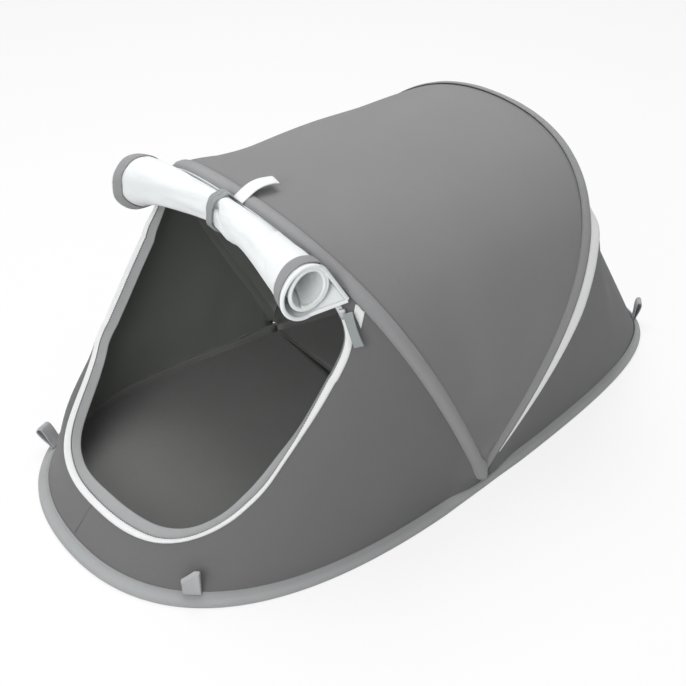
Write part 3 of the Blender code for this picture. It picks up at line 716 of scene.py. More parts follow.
class MouthStation:
    # Place on the mouth's edge with its directions: into the opening and out of the cloth
    def __init__(self, u):
        t, w = spotOnLine(cutLine, u)
        self.runs = edgeAt(u)
        stand, puff, inset = self.runs[5:]
        place, self.inward, self.out = edgeFrame(u)
        self.place = place + self.out * stand + self.inward * inset
        self.ends = groundSeam(frontFloor, t), archSeam(frontArch, t, -1), 1 - w

    def at(self, inPlane, depth):
        spot = self.place + self.inward * inPlane - self.out * depth
        a, b, share = self.ends
        return spot, foldShare(spot, a, b, share)


mouthStations = {}


def stationAt(u):
    key = round((u % 1.0) * mouthCount, 4)
    if key not in mouthStations:
        mouthStations[key] = MouthStation(u)
    return mouthStations[key]


mouthSpots = [wallSpot(*place) for place in cutLine]
mouthRun = np.cumsum([0.0] + [(b - a).length for a, b in zip(mouthSpots, mouthSpots[1:] + mouthSpots[:1])])


def mouthTrim(name, crossAt, columns, rows, width, cloth):
    # A strip round the mouth; crossAt(v, runs, u) gives the way into the opening and the depth
    def shapeAt(u, v):
        station = stationAt(u)
        spot, part = station.at(*crossAt(v, station.runs, u))
        return spot, (float(np.interp(u * mouthCount, np.arange(mouthCount + 1), mouthRun)), v * width), part

    made = shapedGrid(columns, rows, shapeAt)
    if any(edge.is_boundary for edge in made.edges):
        faceAway(made, tentMiddle)
    else:
        bmesh.ops.recalc_face_normals(made, faces=made.faces)
    return addPiece(name, made, paint[cloth])


def tapeCross(v, runs, u):
    # White tape: flat on the cloth at first, then curling into the opening
    swell = runs[4] * (math.sin(math.pi * v) ** 0.8 + 0.3)
    return mouth["join"] + runs[0] * v * (1.25 - 0.25 * v), runs[1] * v**1.7 - swell


def facingCross(v, runs, u):
    # The facing carries on where the tape stops
    across = mouth["join"] + runs[0] + runs[2] * v
    return across, runs[1] + mouth["join"] + runs[3] * v - 0.0012 * math.sin(math.pi * v)


def coilCross(v, runs, u):
    # Zip coil along the join of tape and facing, with a bead for every tooth
    tooth = 1 + mouth["coilTooth"] * math.cos(2 * math.pi * u * mouthCount * mouth["coilPitch"])
    turn = 2 * math.pi * v
    radius = mouth["coilRadius"] * tooth
    return runs[0] + radius * math.cos(turn), runs[1] - mouth["join"] + radius * math.sin(turn)


zipTape = mouthTrim("zipTape", tapeCross, mouthCount, mouth["tapeRows"], mouth["tapeWidth"], "whiteTape")
mouthFacing = mouthTrim(
    "mouthFacing", facingCross, mouthCount, mouth["facingRows"], mouth["facingWidth"], "facingTape"
)
for tape in (zipTape, mouthFacing):
    thicken(tape, mouth["tapeThickness"])
coilColumns = mouthCount * mouth["coilPitch"] * 2
zipCoil = mouthTrim("zipCoil", coilCross, coilColumns, mouth["coilAround"], mouth["coilWidth"], "zipTeeth")
seat(zipTape, "white_tape", "zip_tape", "front_floor", "front_arch")
seat(mouthFacing, "floor_binding", "mouth_facing", "front_floor", "front_arch")
seat(zipCoil, "white_tape", None, "front_floor", "front_arch")

panelSeam = {
    "top": (0.012, 0.885), "bottom": (0.002, 0.985), "width": 0.0015, "rise": 0.0005, "thickness": 0.0004,
    "grid": (6, 24),
}


def panelSeamAt(u, v):
    # Narrow felled seam from the mouth's sill down to the ground, in the middle of the front
    t, w = (between(a, b, v) for a, b in zip(panelSeam["top"], panelSeam["bottom"]))
    spot, part = frontAt(t, 1 - w, 0.0)
    across = (wallSpot(t + 0.01, w) - wallSpot(t - 0.01, w)).normalized()
    lift = walls["clothThickness"] / 2 + panelSeam["rise"] * math.sin(math.pi * u)
    return spot + across * ((u - 0.5) * panelSeam["width"]) + wallOut(t, w) * lift, (u * 0.002, v * 0.1), part


sillSeam = clothSheet("sillSeam", "zipTeeth", panelSeam["thickness"], panelSeam["grid"], panelSeamAt)
seat(sillSeam, "wall_cloth", None, "front_floor", "front_arch")
print("front wall and mouth made")

bindings = {
    "columns": 190,
    "around": 30,
    "archHalfWidth": 0.0104,
    "archEdge": 0.0010,
    "archHug": 0.0020,
    "archEnd": 0.0054,  # how far the tapes of the arches run past the side points
    "archFoot": 0.40,  # how much wider they get just above the ground
    "archTip": 0.75,  # and how much narrower at their very ends
    "archStitchInset": 0.0024,
    "squareness": (0.62, 0.4),
    "lump": 0.0003,
    "stitchPitch": 0.0045,
    "stitchSize": (0.0012, 0.00035, 0.0003),
}


def tapeTurn(v):
    # Goes once round a folded tape's cross-section, as shares of its half width and thickness
    turn = 2 * math.pi * v
    return softPower(math.cos(turn), bindings["squareness"][0]), softPower(math.sin(turn), bindings["squareness"][1])


def tapeProfile(v, halfThick, halfWide, edge):
    # Folded tape: thin along its edges, swelling where the wire runs
    side, level = tapeTurn(v)
    bulge = math.exp(-(abs(side) / 0.62) ** 3.2)
    return between(edge, halfThick, bulge) * level, halfWide * side


def bindingPiece(name, body, node, slot, cloth, lining, length, placeAt):
    def shapeAt(u, v):
        lump = bindings["lump"] * noise.noise(Vector((u * length * 26, math.cos(6.28 * v) * 0.6, 4.0)))
        return placeAt(2 * u - 1, v, lump), (u * length, v * 0.05), 0.0

    made = shapedGrid(bindings["columns"], bindings["around"], shapeAt)
    closeTube(made)
    flatMap = made.loops.layers.uv["clothMap"]
    for face in made.faces:
        if max(loop[flatMap].uv.y for loop in face.loops) < 0.0251:
            face.material_index = 1
    seat(addPiece(name, made, paint[cloth], paint[lining], sharp=60), slot, node, body)


def stitchRow(name, body, slot, length, placeAt):
    # A row of sewing stitches: placeAt(t) gives a place, the way along and the way out of the tape
    count = int(length / bindings["stitchPitch"])
    made = bmesh.new()
    for i in range(count):
        place, along, out = placeAt(2 * (i + 0.5) / count - 1)
        side = along.cross(out).normalized()
        turn = Matrix((along, side, out)).transposed().to_4x4()
        size = Matrix.Diagonal((*bindings["stitchSize"], 1))
        bmesh.ops.create_uvsphere(
            made, u_segments=6, v_segments=4, radius=1, matrix=Matrix.Translation(place) @ turn @ size
        )
    seat(addPiece(name, made, paint["sewingThread"], sharp=180), slot, None, body)


def archBinding(name, hoop, body, node):
    end = 1 + bindings["archEnd"] / hoop.length
    wide = bindings["archHalfWidth"]

    def placeAt(t, v, lump):
        t *= end
        slim = 1 + bindings["archFoot"] * blendBetween(0.93, 0.965, abs(t))
        slim -= bindings["archTip"] * blendBetween(0.985, 1.004, abs(t))
        inset, across = tapeProfile(v, plan["archSleeveThickness"] / 2, wide * slim, bindings["archEdge"])
        hug = bindings["archHug"] * (across / wide) ** 2
        return hoop.point(t, inset + math.copysign(lump, inset) + hug, across)

    def stitchAt(side):
        def placeStitch(t):
            t *= 0.975
            across = side * (wide - bindings["archStitchInset"])
            inset = -bindings["archEdge"] * 1.35 + bindings["archHug"] * (across / wide) ** 2
            return hoop.point(t, inset, across), hoop.tangent(t), -hoop.towardsMiddle(t)

        return placeStitch

    bindingPiece(name, body, node, "arch_binding", "archTape", "tentLining", 2 * hoop.length, placeAt)
    for label, side in (("Front", -1), ("Rear", 1)):
        stitchRow(name + "Stitch" + label, body, "arch_binding", 2 * hoop.length, stitchAt(side))


def floorBinding(name, hoop, body, node):
    def placeAt(t, v, lump):
        t *= 1 - 0.0003
        foot, up, out, held = groundFrame(hoop, t)
        across, side = tapeTurn(v)
        width = between(plan["floorSleeveHeight"] - 0.0008, groundTape["width"][hoop], held)
        along = width * (0.5 + 0.5 * across)
        hump = math.exp(-(abs(along - groundTape["humpAt"]) / groundTape["humpWidth"]) ** 2.6)
        rise = between(plan["floorSleeveWidth"] / 2, between(groundTape["edge"], groundTape["hump"], hump), held)
        under = between(plan["floorSleeveWidth"] / 2, groundTape["under"], held)
        spot = foot + up * along + out * (-side * (under if side > 0 else rise + lump))
        spot.z = max(0.0002, spot.z)
        return spot

    def placeStitch(t):
        t *= 0.84
        foot, up, out, _ = groundFrame(hoop, t)
        place = foot + up * (groundTape["width"][hoop] - groundTape["stitchInset"]) + out * groundTape["stitchRise"]
        return place, hoop.tangent(t), out

    bindingPiece(name, body, node, "floor_binding", "floorTape", "floorCloth", 2 * hoop.length, placeAt)
    stitchRow(name + "Stitch", body, "floor_binding", 1.7 * hoop.length, placeStitch)


archBinding("frontArchBinding", frontArch, "front_arch", "front_arch_sleeve")
archBinding("rearArchBinding", rearArch, "rear_arch", "rear_arch_sleeve")
floorBinding("frontFloorBinding", frontFloor, "front_floor", "front_floor_sleeve")
floorBinding("rearFloorBinding", rearFloor, "rear_floor", "rear_floor_sleeve")

for node in ("front_floor_wire", "front_arch_wire", "rear_arch_wire", "rear_floor_wire"):
    wireMaterials = frame["nodes"][node].data.materials
    wireMaterials.clear()
    wireMaterials.append(paint["springSteel"])
print("bindings made")

floorSheet = {"grid": (90, 28), "thickness": 0.0010, "level": 0.0009, "rimShare": 0.08, "ripple": 0.0012}
underFloor = Vector((0, 0, -1))


def floorPiece(name, hoop, body, node):
    def shapeAt(u, v):
        t = (2 * u - 1) * 0.9995
        turned = floorSheet["rimShare"]
        held = groundFrame(hoop, t)[3]
        rim = groundSeam(hoop, t / sideEnd[hoop]) + hoop.towardsMiddle(t) * (0.0010 + 0.0036 * (1 - held))
        rim.z += 0.0022 * held
        foot = rim + hoop.towardsMiddle(t) * 0.0012
        foot.z = floorSheet["level"]
        crease = Vector((t * plan["halfSpan"] * 0.985, foldLine.y, floorSheet["level"]))
        if v < turned:
            spot = rim.lerp(foot, v / turned)
        else:
            w = (v - turned) / (1 - turned)
            spot = foot.lerp(crease, w)
            hold = min(1.0, 6 * w) * blendBetween(0.0, 0.2, 1 - abs(t)) * min(1.0, 10 * (1 - w) + 0.2)
            lift = (0.5 + ripple(Vector((spot.x, spot.y, 0)), 0.11, 7.7)) * floorSheet["ripple"] * hold
            spot.z = floorSheet["level"] + max(0.0, lift)
        spot.y += -0.0002 if hoop is frontFloor else 0.0002
        return spot, (spot.x, spot.y), 0.0

    piece = clothSheet(name, "floorCloth", floorSheet["thickness"], floorSheet["grid"], shapeAt, underFloor)
    return seat(piece, "floor_cloth", node, body)


frontFloorCloth = floorPiece("frontFloorCloth", frontFloor, "front_floor", "front_floor_cloth")
rearFloorCloth = floorPiece("rearFloorCloth", rearFloor, "rear_floor", "rear_floor_cloth")

creaseFold = {
    "width": 0.0022, "lift": 0.0011, "layer": 0.0004, "thickness": 0.0003, "reach": 0.985, "grid": (60, 6),
}


def creasePleat(name, layer, first, second):
    # One layer of the cloth along the floor's crease, where the hoops fold
    def shapeAt(u, v):
        side = (v - 0.5) * (1 if layer % 2 == 0 else -1)
        height = floorSheet["level"] + creaseFold["lift"] + creaseFold["layer"] * (layer + v)
        across = (2 * u - 1) * plan["halfSpan"] * creaseFold["reach"]
        return Vector((across, foldLine.y + creaseFold["width"] * side, height)), (across, v * 0.01), v

    piece = clothSheet(name, "floorCloth", creaseFold["thickness"], creaseFold["grid"], shapeAt, underFloor)
    seat(piece, "floor_cloth", None, first, second)


creasePleat("creasePleatFront", 0, "front_floor", "front_arch")
creasePleat("creasePleatMiddle", 1, "front_arch", "rear_arch")
creasePleat("creasePleatRear", 2, "rear_arch", "rear_floor")

sideTapeLook = {"edge": 0.0004, "lift": 0.0011, "thickness": 0.001, "grid": (130, 6)}


def sideTapeAt(u, v):
    t = (2 * u - 1) * (walls["tapeEnd"] - 0.01)
    seam = archSeam(rearArch, t, 1)
    lie = tapeLie(t)
    out = lie.cross(rearArch.tangent(t)).normalized()
    if out.dot(rearArch.towardsMiddle(t)) > 0:
        out = -out
    width = tapeWidthAt(t)
    reach = walls["tapeRun"] + sideTapeLook["edge"] + (width + 0.0006) * v
    spot = seam + lie * reach + out * (sideTapeLook["lift"] + 0.0006 * math.sin(math.pi * v))
    return spot, (t * rearArch.length, v * width), foldShare(spot, seam, groundSeam(rearFloor, t), 0.1 * v)


sideTape = clothSheet("sideTape", "whiteTape", sideTapeLook["thickness"], sideTapeLook["grid"], sideTapeAt)
seat(sideTape, "white_tape", "side_tape", "rear_arch", "rear_floor")
print("floor and side tape made")

roll = {
    "leftEnd": -0.247,
    "leftSlant": 0.014,  # how much shorter the roll's underside is at the left end
    "waistAt": 0.006,
    "rightEnd": 0.202,
    "radii": (0.0412, 0.0198, 0.0350),
    "swells": (1.15, 1.4),
    "advance": (1.0, 1.9),
    "crown": 0.0035,  # how much the right half arches up between tie and open end
    "forward": (0.052, 0.031, 0.0520),
    "height": (0.4385, 0.4905, 0.4722),
    "seamLeft": 0.205,
    "seamRight": 0.222,
    "turns": 2.1,
    "openShare": 0.6,  # of a turn, before the cloth goes inside at the open right end
    "inShare": 0.35,  # of a turn, while it goes inside
    "inner": 0.79,
    "core": 0.71,
    "innerShift": (0.11, 0.12),
    "squeeze": (0.90, 1.18),
    "cloth": 0.0016,
    "cornerShort": 0.15,
    "tieWidth": 0.015,
    "gathers": 0.16,
    "runShare": 0.08,
    "flapShare": 0.7,
    "drop": 0.43,
    "grid": (170, 170),
}
archCos = math.cos(frontArch.lean)
archSin = math.sin(frontArch.lean)
seamPlane = -plan["archSleeveWidth"] / 2 - 0.0004


def rollValues(x):
    # Middle and radius of the roll at one place, and the way there from the tie, as a share
    half = roll["tieWidth"] / 2 + 0.0006
    right = x >= roll["waistAt"]
    end = roll["rightEnd" if right else "leftEnd"]
    s = max(0.0, abs(x - roll["waistAt"]) - half) / (abs(end - roll["waistAt"]) - half)

    def towardsEnd(name, share):
        return between(roll[name][1], roll[name][2 * right], share)

    radius = towardsEnd("radii", s ** roll["swells"][right])
    forward = towardsEnd("forward", s ** roll["advance"][right])
    height = towardsEnd("height", s * s) + right * roll["crown"] * math.sin(math.pi * min(1.0, s))
    y = foldLine.y - height * archCos - forward * archSin
    z = foldLine.z + height * archSin - forward * archCos
    return Vector((y, z)), radius, s


def seamTarget(x):
    reach = max(-roll["seamLeft"], min(roll["seamRight"], x))
    return frontArch.point(frontArch.acrossT(reach), 0, seamPlane).yz


def onOval(centre, angle, radius, squeeze):
    spot = Vector((math.cos(angle), math.sin(angle))) * radius
    return Vector((spot.x * squeeze[0], spot.y * squeeze[1])) + centre


def tangentAngle(centre, radius, target, side):
    away = target - centre
    return math.atan2(away.y, away.x) + side * math.acos(min(0.98, radius / away.length))


def flapAcross(x):
    share = max(0.0, (x - roll["waistAt"]) / (roll["rightEnd"] - roll["waistAt"]))
    return (roll["seamRight"] - roll["rightEnd"]) * share**3


def eased(value, places, sizes):
    # Smooth steps from size to size
    for i in range(1, len(places)):
        if value <= places[i]:
            return between(sizes[i - 1], sizes[i], blendBetween(places[i - 1], places[i], value))
    return sizes[-1]


def dent(angle, at, width):
    return swellAt(math.remainder(angle - math.radians(at), 2 * math.pi), 0.0, math.radians(width))


def gather(x, angle, s):
    # Folds drawn in at the tie, fading towards the ends, the same for every turn at one angle
    left = x < roll["waistAt"]
    fade = math.exp(-s * (1.9 if left else 3.2))
    twist = angle + (-1.5 if left else 1.2) * s
    lobes = 0.0
    for count, phase, size in ((3, 0.4, 0.5), (5, 2.1, 0.55), (8, 0.9, 0.35)):
        lobes += size * (abs(math.cos(count * twist / 2 + phase)) ** 0.7 - 0.72)
    shape = roll["gathers"] * fade * lobes
    # Single folds: how far they stand out, at what angle, how wide, and how strong at this place
    if left:
        hold = blendBetween(0.0, 0.08, s)
        folds = (
            (-0.12, 112 - 26 * s, 10, hold * (1 - blendBetween(0.30, 0.62, s))),
            (-0.09, 158 + 24 * s, 12, hold * math.exp(-s * 1.8)),
            (-0.10, 206 - 34 * s, 14, hold * math.exp(-s * 1.5)),
            (-0.10, 246, 42, math.exp(-s * 2.6)),
            (0.05, 215, 20, swellAt(s, 0.34, 0.18)),
            (0.03, 135, 20, swellAt(s, 0.55, 0.2)),
        )
    else:
        folds = (
            (-0.42, 142 + 520 * s, 11, math.exp(-s * 3.6)),
            (-0.12, 172 + 520 * s, 24, math.exp(-s * 3.6)),
            (0.30, 236, 34, swellAt(s, 0.13, 0.10)),
            (0.10, 108, 26, swellAt(s, 0.10, 0.12)),
            (-0.05, 170 - 20 * s, 12, blendBetween(0.15, 0.3, s) * math.exp(-s * 1.5)),
        )
    shape += sum(size * dent(angle, at, width) * strength for size, at, width, strength in folds)
    soft = noise.noise(Vector((x * 17, math.cos(angle) * 1.3, math.sin(angle) * 1.3))) * 0.05
    return 1 + shape + soft * min(1.0, s * 3)


class RollSlice:
    # The door's spiral at one place along the roll
    def __init__(self, x):
        self.x = x
        self.centre, self.radius, self.s = rollValues(x)
        self.target = seamTarget(x + flapAcross(x))
        self.leave = tangentAngle(self.centre, self.radius, self.target, -1)
        self.top = tangentAngle(self.centre, self.radius, self.target, 1)
        self.closed = 1 - blendBetween(0.085, 0.17, x)
        self.goesIn = roll["openShare"] + (1 - roll["openShare"]) * self.closed
        pinch = math.exp(-self.s * 5)
        self.squeeze = [1 + (share - 1) * pinch for share in roll["squeeze"]]

    def size(self, back):
        into = self.goesIn
        places = [0.0, into * 0.5, into, into + roll["inShare"], roll["turns"]]
        sizes = [1.0, 1.0, 1 - 0.13 * self.closed, roll["inner"], roll["core"]]
        return self.radius * eased(back, places, sizes)

    def at(self, back, lift=0.0):
        angle = self.leave - back * 2 * math.pi
        size = self.size(back) * gather(self.x, angle, self.s) + lift
        shift = blendBetween(self.goesIn, self.goesIn + roll["inShare"], back)
        shift *= (1 - 0.7 * self.closed) * self.radius
        spot = onOval(self.centre, angle, size, self.squeeze) + Vector(roll["innerShift"]) * shift
        slant = 0.0
        if self.x < roll["waistAt"]:
            slant = roll["leftSlant"] * (0.5 - 0.5 * math.sin(angle)) * self.s**4
        return Vector((self.x + slant, spot.x, spot.y))

    def seam(self, rise=0.0):
        # Near the open end the door's free corner stops a little short of the arch
        end = Vector((self.x + flapAcross(self.x), self.target.x, self.target.y + rise))
        short = roll["cornerShort"] * blendBetween(0.150, roll["rightEnd"], self.x)
        return end.lerp(Vector((self.x, self.centre.x, self.centre.y - self.radius * 0.5)), short)

    def run(self, part):
        # Straight run from the roll to the seam
        return self.at(0.0).lerp(self.seam(), part)

    def path(self, v):
        # From the spiral's inner end to the roll's outside, then straight to the seam
        spiral = 1 - roll["runShare"]
        return self.at(roll["turns"] * (1 - v / spiral)) if v < spiral else self.run((v - spiral) / (1 - spiral))

    def topShare(self):
        # Share of a turn from the roll's underside back to its top
        return ((self.leave - self.top) / (2 * math.pi)) % 1.0

    def overTop(self, part, lift, rise=0.0022):
        # Upper layer of the flap, from the seam to the roll's top and a little way on
        flap = roll["flapShare"]
        if part < flap:
            return self.seam(rise).lerp(self.at(self.topShare(), lift), part / flap)
        on = part - flap
        return self.at(max(0.0, self.topShare() - on * 0.2), lift * (1 - 0.7 * on / (1 - flap)))


slices = {}


def sliceAt(x):
    key = round(x, 6)
    if key not in slices:
        slices[key] = RollSlice(key)
    return slices[key]


def doorAt(u, v):
    x = between(roll["leftEnd"], roll["rightEnd"], u)
    return sliceAt(x).path(v), (x, v * roll["drop"]), 0.0


rolledDoor = clothSheet("rolledDoor", "doorCloth", roll["cloth"], roll["grid"], doorAt, Vector((0, -0.27, 0.43)))
seat(rolledDoor, "door_cloth", "door_roll", "front_arch")

hood = {
    "left": 0.112, "full": 0.168, "right": 0.202, "lift": 0.0020, "rest": -0.0014, "thickness": 0.0012,
    "grid": (60, 18),
}


def hoodAt(u, v):
    # Second layer of the door's corner, from the seam over the top of the roll
    x = between(hood["left"], hood["right"], u)
    cut = sliceAt(x)
    grown = blendBetween(hood["left"], hood["full"], x)
    spot = cut.overTop(v, hood["lift"] * grown)
    rest = cut.overTop(max(v, roll["flapShare"]), hood["rest"])
    return rest.lerp(spot, grown), (x, v * 0.06), 0.0


doorHood = clothSheet("doorHood", "doorCloth", hood["thickness"], hood["grid"], hoodAt, Vector((0.16, -0.25, 0.40)))
seat(doorHood, "door_cloth", None, "front_arch")

hem = {
    "leftRadius": 0.0018, "radius": 0.0029, "cornerRadius": 0.0029 * 0.92, "around": 12, "columns": 240,
    "cornerColumns": 60, "setback": 0.0005,
}


def doorHem(name, pathAt, columns, radius):
    # A tube round a path that lies in one plane across the roll
    def shapeAt(u, v):
        spot = pathAt(u)
        along = (pathAt(min(1.0, u + 0.002)) - pathAt(max(0.0, u - 0.002))).normalized()
        out = along.cross(Vector((1, 0, 0))).normalized()
        side = along.cross(out).normalized()
        turn = 2 * math.pi * v
        ring = out * math.cos(turn) + side * math.sin(turn)
        return spot + ring * radius, (u * 0.4, v * 0.012), 0.0

    made = shapedGrid(columns, hem["around"], shapeAt)
    closeTube(made)
    return seat(addPiece(name, made, paint["doorCloth"]), "door_cloth", None, "front_arch")


leftCut = sliceAt(roll["leftEnd"] + hem["setback"])
rightCut = sliceAt(roll["rightEnd"] - hem["setback"])
doorHems = [
    doorHem("doorHemLeft", leftCut.path, hem["columns"], hem["leftRadius"]),
    doorHem("doorHemRight", rightCut.path, hem["columns"], hem["radius"]),
    doorHem("doorHemCorner", lambda u: rightCut.overTop(u, hood["lift"]), hem["cornerColumns"], hem["cornerRadius"]),
]

bands = {
    "widthLeft": 0.031, "setbackLeft": 0.0050, "widthRight": 0.014, "setbackRight": 0.005,
    "lift": 0.0021, "thickness": 0.0009, "flapShare": 0.2, "closedStart": 0.86, "grid": (10, 90),
}


def doorBand(name, node, low, high, opens):
    # Grey band round the roll; at the open end it starts on the flap's upper layer
    def shapeAt(u, v):
        cut = sliceAt(between(low, high, u))
        lift = bands["lift"] + 0.0004 * math.sin(math.pi * u)
        flat = (u * (high - low), v * 0.2)
        if not opens:
            return cut.at(bands["closedStart"] * (1 - v), lift), flat, 0.0
        flap = bands["flapShare"]
        if v < flap:
            part = between(0.05, roll["flapShare"], v / flap)
            return cut.overTop(part, hood["lift"] + lift * 0.9, 0.0046), flat, 0.0
        part = (v - flap) / (1 - flap)
        lift += hood["lift"] * (1 - blendBetween(0.0, 0.12, part))
        return cut.at((cut.topShare() - 0.02) * (1 - part), lift), flat, 0.0

    middle = Vector(((low + high) / 2, *sliceAt(low).centre))
    piece = clothSheet(name, "archTape", bands["thickness"], bands["grid"], shapeAt, middle)
    return seat(piece, "arch_binding", node, "front_arch")


bandLow = roll["leftEnd"] + bands["setbackLeft"]
bandHigh = roll["rightEnd"] - bands["setbackRight"]
doorBands = [
    doorBand("doorBandLeft", "door_band_left", bandLow, bandLow + bands["widthLeft"], opens=False),
    doorBand("doorBandRight", "door_band_right", bandHigh - bands["widthRight"], bandHigh, opens=True),
]

tie = {
    "width": 0.021, "narrow": 0.011, "thickness": 0.0013, "radius": 0.0242, "squeeze": (0.92, 1.16),
    "drop": 0.0012, "sewnAt": 0.003, "sewnShare": 0.08, "grid": (18, 110),
}


def tieAt(u, v):
    # Soft webbing round the waist, spread at the top where it is sewn and bunched below
    width = between(tie["narrow"], tie["width"], 1 - blendBetween(0.0, 0.45, v))
    x = roll["waistAt"] + (u - 0.5) * width
    size = tie["radius"]
    centre = sliceAt(roll["waistAt"]).centre - Vector((0, tie["drop"]))
    t = frontArch.acrossT(x)
    upper, lower = (frontArch.point(t, side * tie["sewnAt"], seamPlane - tie["thickness"]).yz for side in (-1, 1))
    first = tangentAngle(centre, size, upper, 1)
    last = tangentAngle(centre, size, lower, -1) + 2 * math.pi
    ridges = 0.0006 * math.cos(u * math.pi * 5) - 0.0005 * abs(2 * u - 1) ** 3

    def ring(angle):
        lobes = 1 + 0.035 * math.cos(5 * angle + 0.8) + 0.02 * math.cos(9 * angle)
        reach = size * lobes + ridges + 0.0008 * noise.noise(Vector((u * 2, math.cos(angle) * 2, math.sin(angle) * 2)))
        return onOval(centre, angle, reach, tie["squeeze"])

    sewn = tie["sewnShare"]
    if v < sewn:
        spot = upper.lerp(ring(first), v / sewn)
    elif v > 1 - sewn:
        spot = lower.lerp(ring(last), (1 - v) / sewn)
    else:
        spot = ring(between(first, last, (v - sewn) / (1 - 2 * sewn)))
    return Vector((x, spot.x, spot.y)), (u * tie["width"], v * 0.2), 0.0


waistMiddle = Vector((roll["waistAt"], *sliceAt(roll["waistAt"]).centre))
doorTie = clothSheet("doorTie", "tieTape", tie["thickness"], tie["grid"], tieAt, waistMiddle)
seat(doorTie, "grey_webbing", "door_tie", "front_arch")
print("rolled door made")

strap = {
    "width": 0.0225, "thickness": 0.0012, "across": 0.0175, "tail": 0.047, "lift": 0.0165, "tip": 0.0085,
    "sewnShare": 0.25, "grid": (10, 48),
}


def strapTrack():
    # The strap's middle line: over the sleeve, then up in a bow with its free end above the canopy
    lie = plan["archSleeveThickness"] / 2 + 0.0004 + strap["thickness"] / 2
    t = frontArch.acrossT(strap["across"])
    sewn = frontArch.point(t, -lie, -plan["archSleeveWidth"] / 2)
    edge = frontArch.point(t, -lie, plan["archSleeveWidth"] / 2)
    along = (edge - sewn).normalized()
    crown = rearArch.acrossT(strap["across"])
    run = (archSeam(rearArch, crown, -1) - archSeam(frontArch, t, 1)).normalized()
    tail = archSeam(frontArch, t, 1) + run * strap["tail"] + Vector((0, 0, strap["tip"]))
    lifted = strap["lift"]
    dip = tail - run * lifted + Vector((0, 0, lifted * 0.28))
    return sewn, edge, lambda s: bezierAt((edge, edge + along * lifted, dip, tail), s)


strapSewn, strapEdge, strapBow = strapTrack()


def strapAt(u, v):
    held = strap["sewnShare"]
    spot = strapSewn.lerp(strapEdge, v / held) if v < held else strapBow((v - held) / (1 - held))
    across = (u - 0.5) * strap["width"]
    cup = -0.0007 * (2 * u - 1) ** 2
    slant = -0.004 * (u - 0.5) * blendBetween(0.85, 1.0, v)
    spot = Vector((strapSewn.x + across, spot.y + slant, spot.z + cup))
    return spot, (u * strap["width"], v * 0.075), 0.0


strapTape = clothSheet("strapTape", "whiteTape", strap["thickness"], strap["grid"], strapAt, Vector((0, -0.22, 0.3)))
seat(strapTape, "white_tape", "strap", "strap")

zipPull = {
    "length": 0.013, "width": 0.009, "height": 0.006, "tabLength": 0.045, "tabWidth": 0.0126, "tabRest": 2.0,
    "tabSway": -0.0042, "tabShift": (0.0048, 0.0037, 0.0042), "tabThickness": 0.0018, "tabEdge": 0.0005,
    "tabGrid": (8, 34),
}
slideJoint = joints["zip_slide"]
tabJoint = joints["tab_swing"]
slideAlong = Vector(slideJoint["axis"]).normalized()
slideSide = Vector(tabJoint["axis"]).normalized()
slideOut = slideSide.cross(slideAlong).normalized()
sliderLow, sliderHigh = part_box("zip_slider")
sliderMiddle = (sliderLow + sliderHigh) / 2


def sliderBody():
    made = bmesh.new()
    bmesh.ops.create_cube(made, size=1.0)
    bmesh.ops.subdivide_edges(made, edges=made.edges, cuts=2, use_grid_fill=True)
    for vert in made.verts:
        along, across, up = vert.co.y, vert.co.x, vert.co.z
        nose = 1.0 - 0.3 * blendBetween(0.0, 0.5, along)
        waist = 1.0 - 0.35 * (1 - min(1.0, abs(up) * 3.2))
        place = slideSide * (across * zipPull["width"] * nose * waist)
        place += slideAlong * (along * zipPull["length"]) + slideOut * (up * zipPull["height"])
        vert.co = sliderMiddle + place
    made.normal_update()
    bmesh.ops.recalc_face_normals(made, faces=made.faces)
    edges = [edge for edge in made.edges if edge.calc_face_angle(0) > math.radians(50)]
    bmesh.ops.bevel(made, geom=edges, offset=0.0007, segments=2, profile=0.5, affect="EDGES", material=-1)
    return made


seat(addPiece("zipSlider", sliderBody(), paint["zipMetal"]), "zip_metal", "zip_slider", "zip_slider")

tabRoot = Vector(tabJoint["pos_m"])
tabTurn = math.radians(zipPull["tabRest"])
tabAlong = slideAlong * math.cos(tabTurn) + slideOut * math.sin(tabTurn)
tabUp = slideSide.cross(tabAlong).normalized()


def tabAt(u, v):
    # Ribbon hanging from the slider's bridge
    bend = 0.0022 * math.sin(v * math.pi * 0.9) - 0.001 * v
    along = v * zipPull["tabLength"]
    across = (u - 0.5) * zipPull["tabWidth"] * (1 - 0.08 * math.sin(v * math.pi))
    across += zipPull["tabSway"] * v**1.5
    spot = tabRoot + Vector(zipPull["tabShift"]) + tabAlong * along + tabUp * bend + slideSide * across
    return spot, (u * zipPull["tabWidth"], along), 0.0


behindTab = tabRoot - slideOut * 0.1
pullTab = clothSheet("pullTab", "tieTape", zipPull["tabThickness"], zipPull["tabGrid"], tabAt, behindTab)
seat(softEdges(pullTab, zipPull["tabEdge"]), "grey_webbing", "zip_tab", "zip_tab")

tapeEnd = {
    "middle": (0.2285, -0.2105, 0.370),
    "right": (0.618, 0.786, 0.0), "up": (-0.445, 0.349, 0.825), "out": (0.648, -0.510, 0.566),
    "corners": ((-0.0057, 0.0148), (0.0064, 0.0080), (-0.0078, 0.0040), (0.0014, -0.0160)),
    "slope": 0.24, "lift": 0.0012, "thickness": 0.0010, "grid": (6, 12),
}


def tapeEndAt(u, v):
    # Short end of the zip's white tape, beside the pull
    upperLeft, upperRight, lowerLeft, lowerRight = (Vector(corner) for corner in tapeEnd["corners"])
    spot = upperLeft.lerp(upperRight, u).lerp(lowerLeft.lerp(lowerRight, u), v)
    right, up, out = (Vector(tapeEnd[name]) for name in ("right", "up", "out"))
    depth = tapeEnd["slope"] * spot.y + tapeEnd["lift"] + 0.0008 * math.sin(math.pi * v)
    return Vector(tapeEnd["middle"]) + right * spot.x + up * spot.y + out * depth, (spot.x, spot.y), 0.0


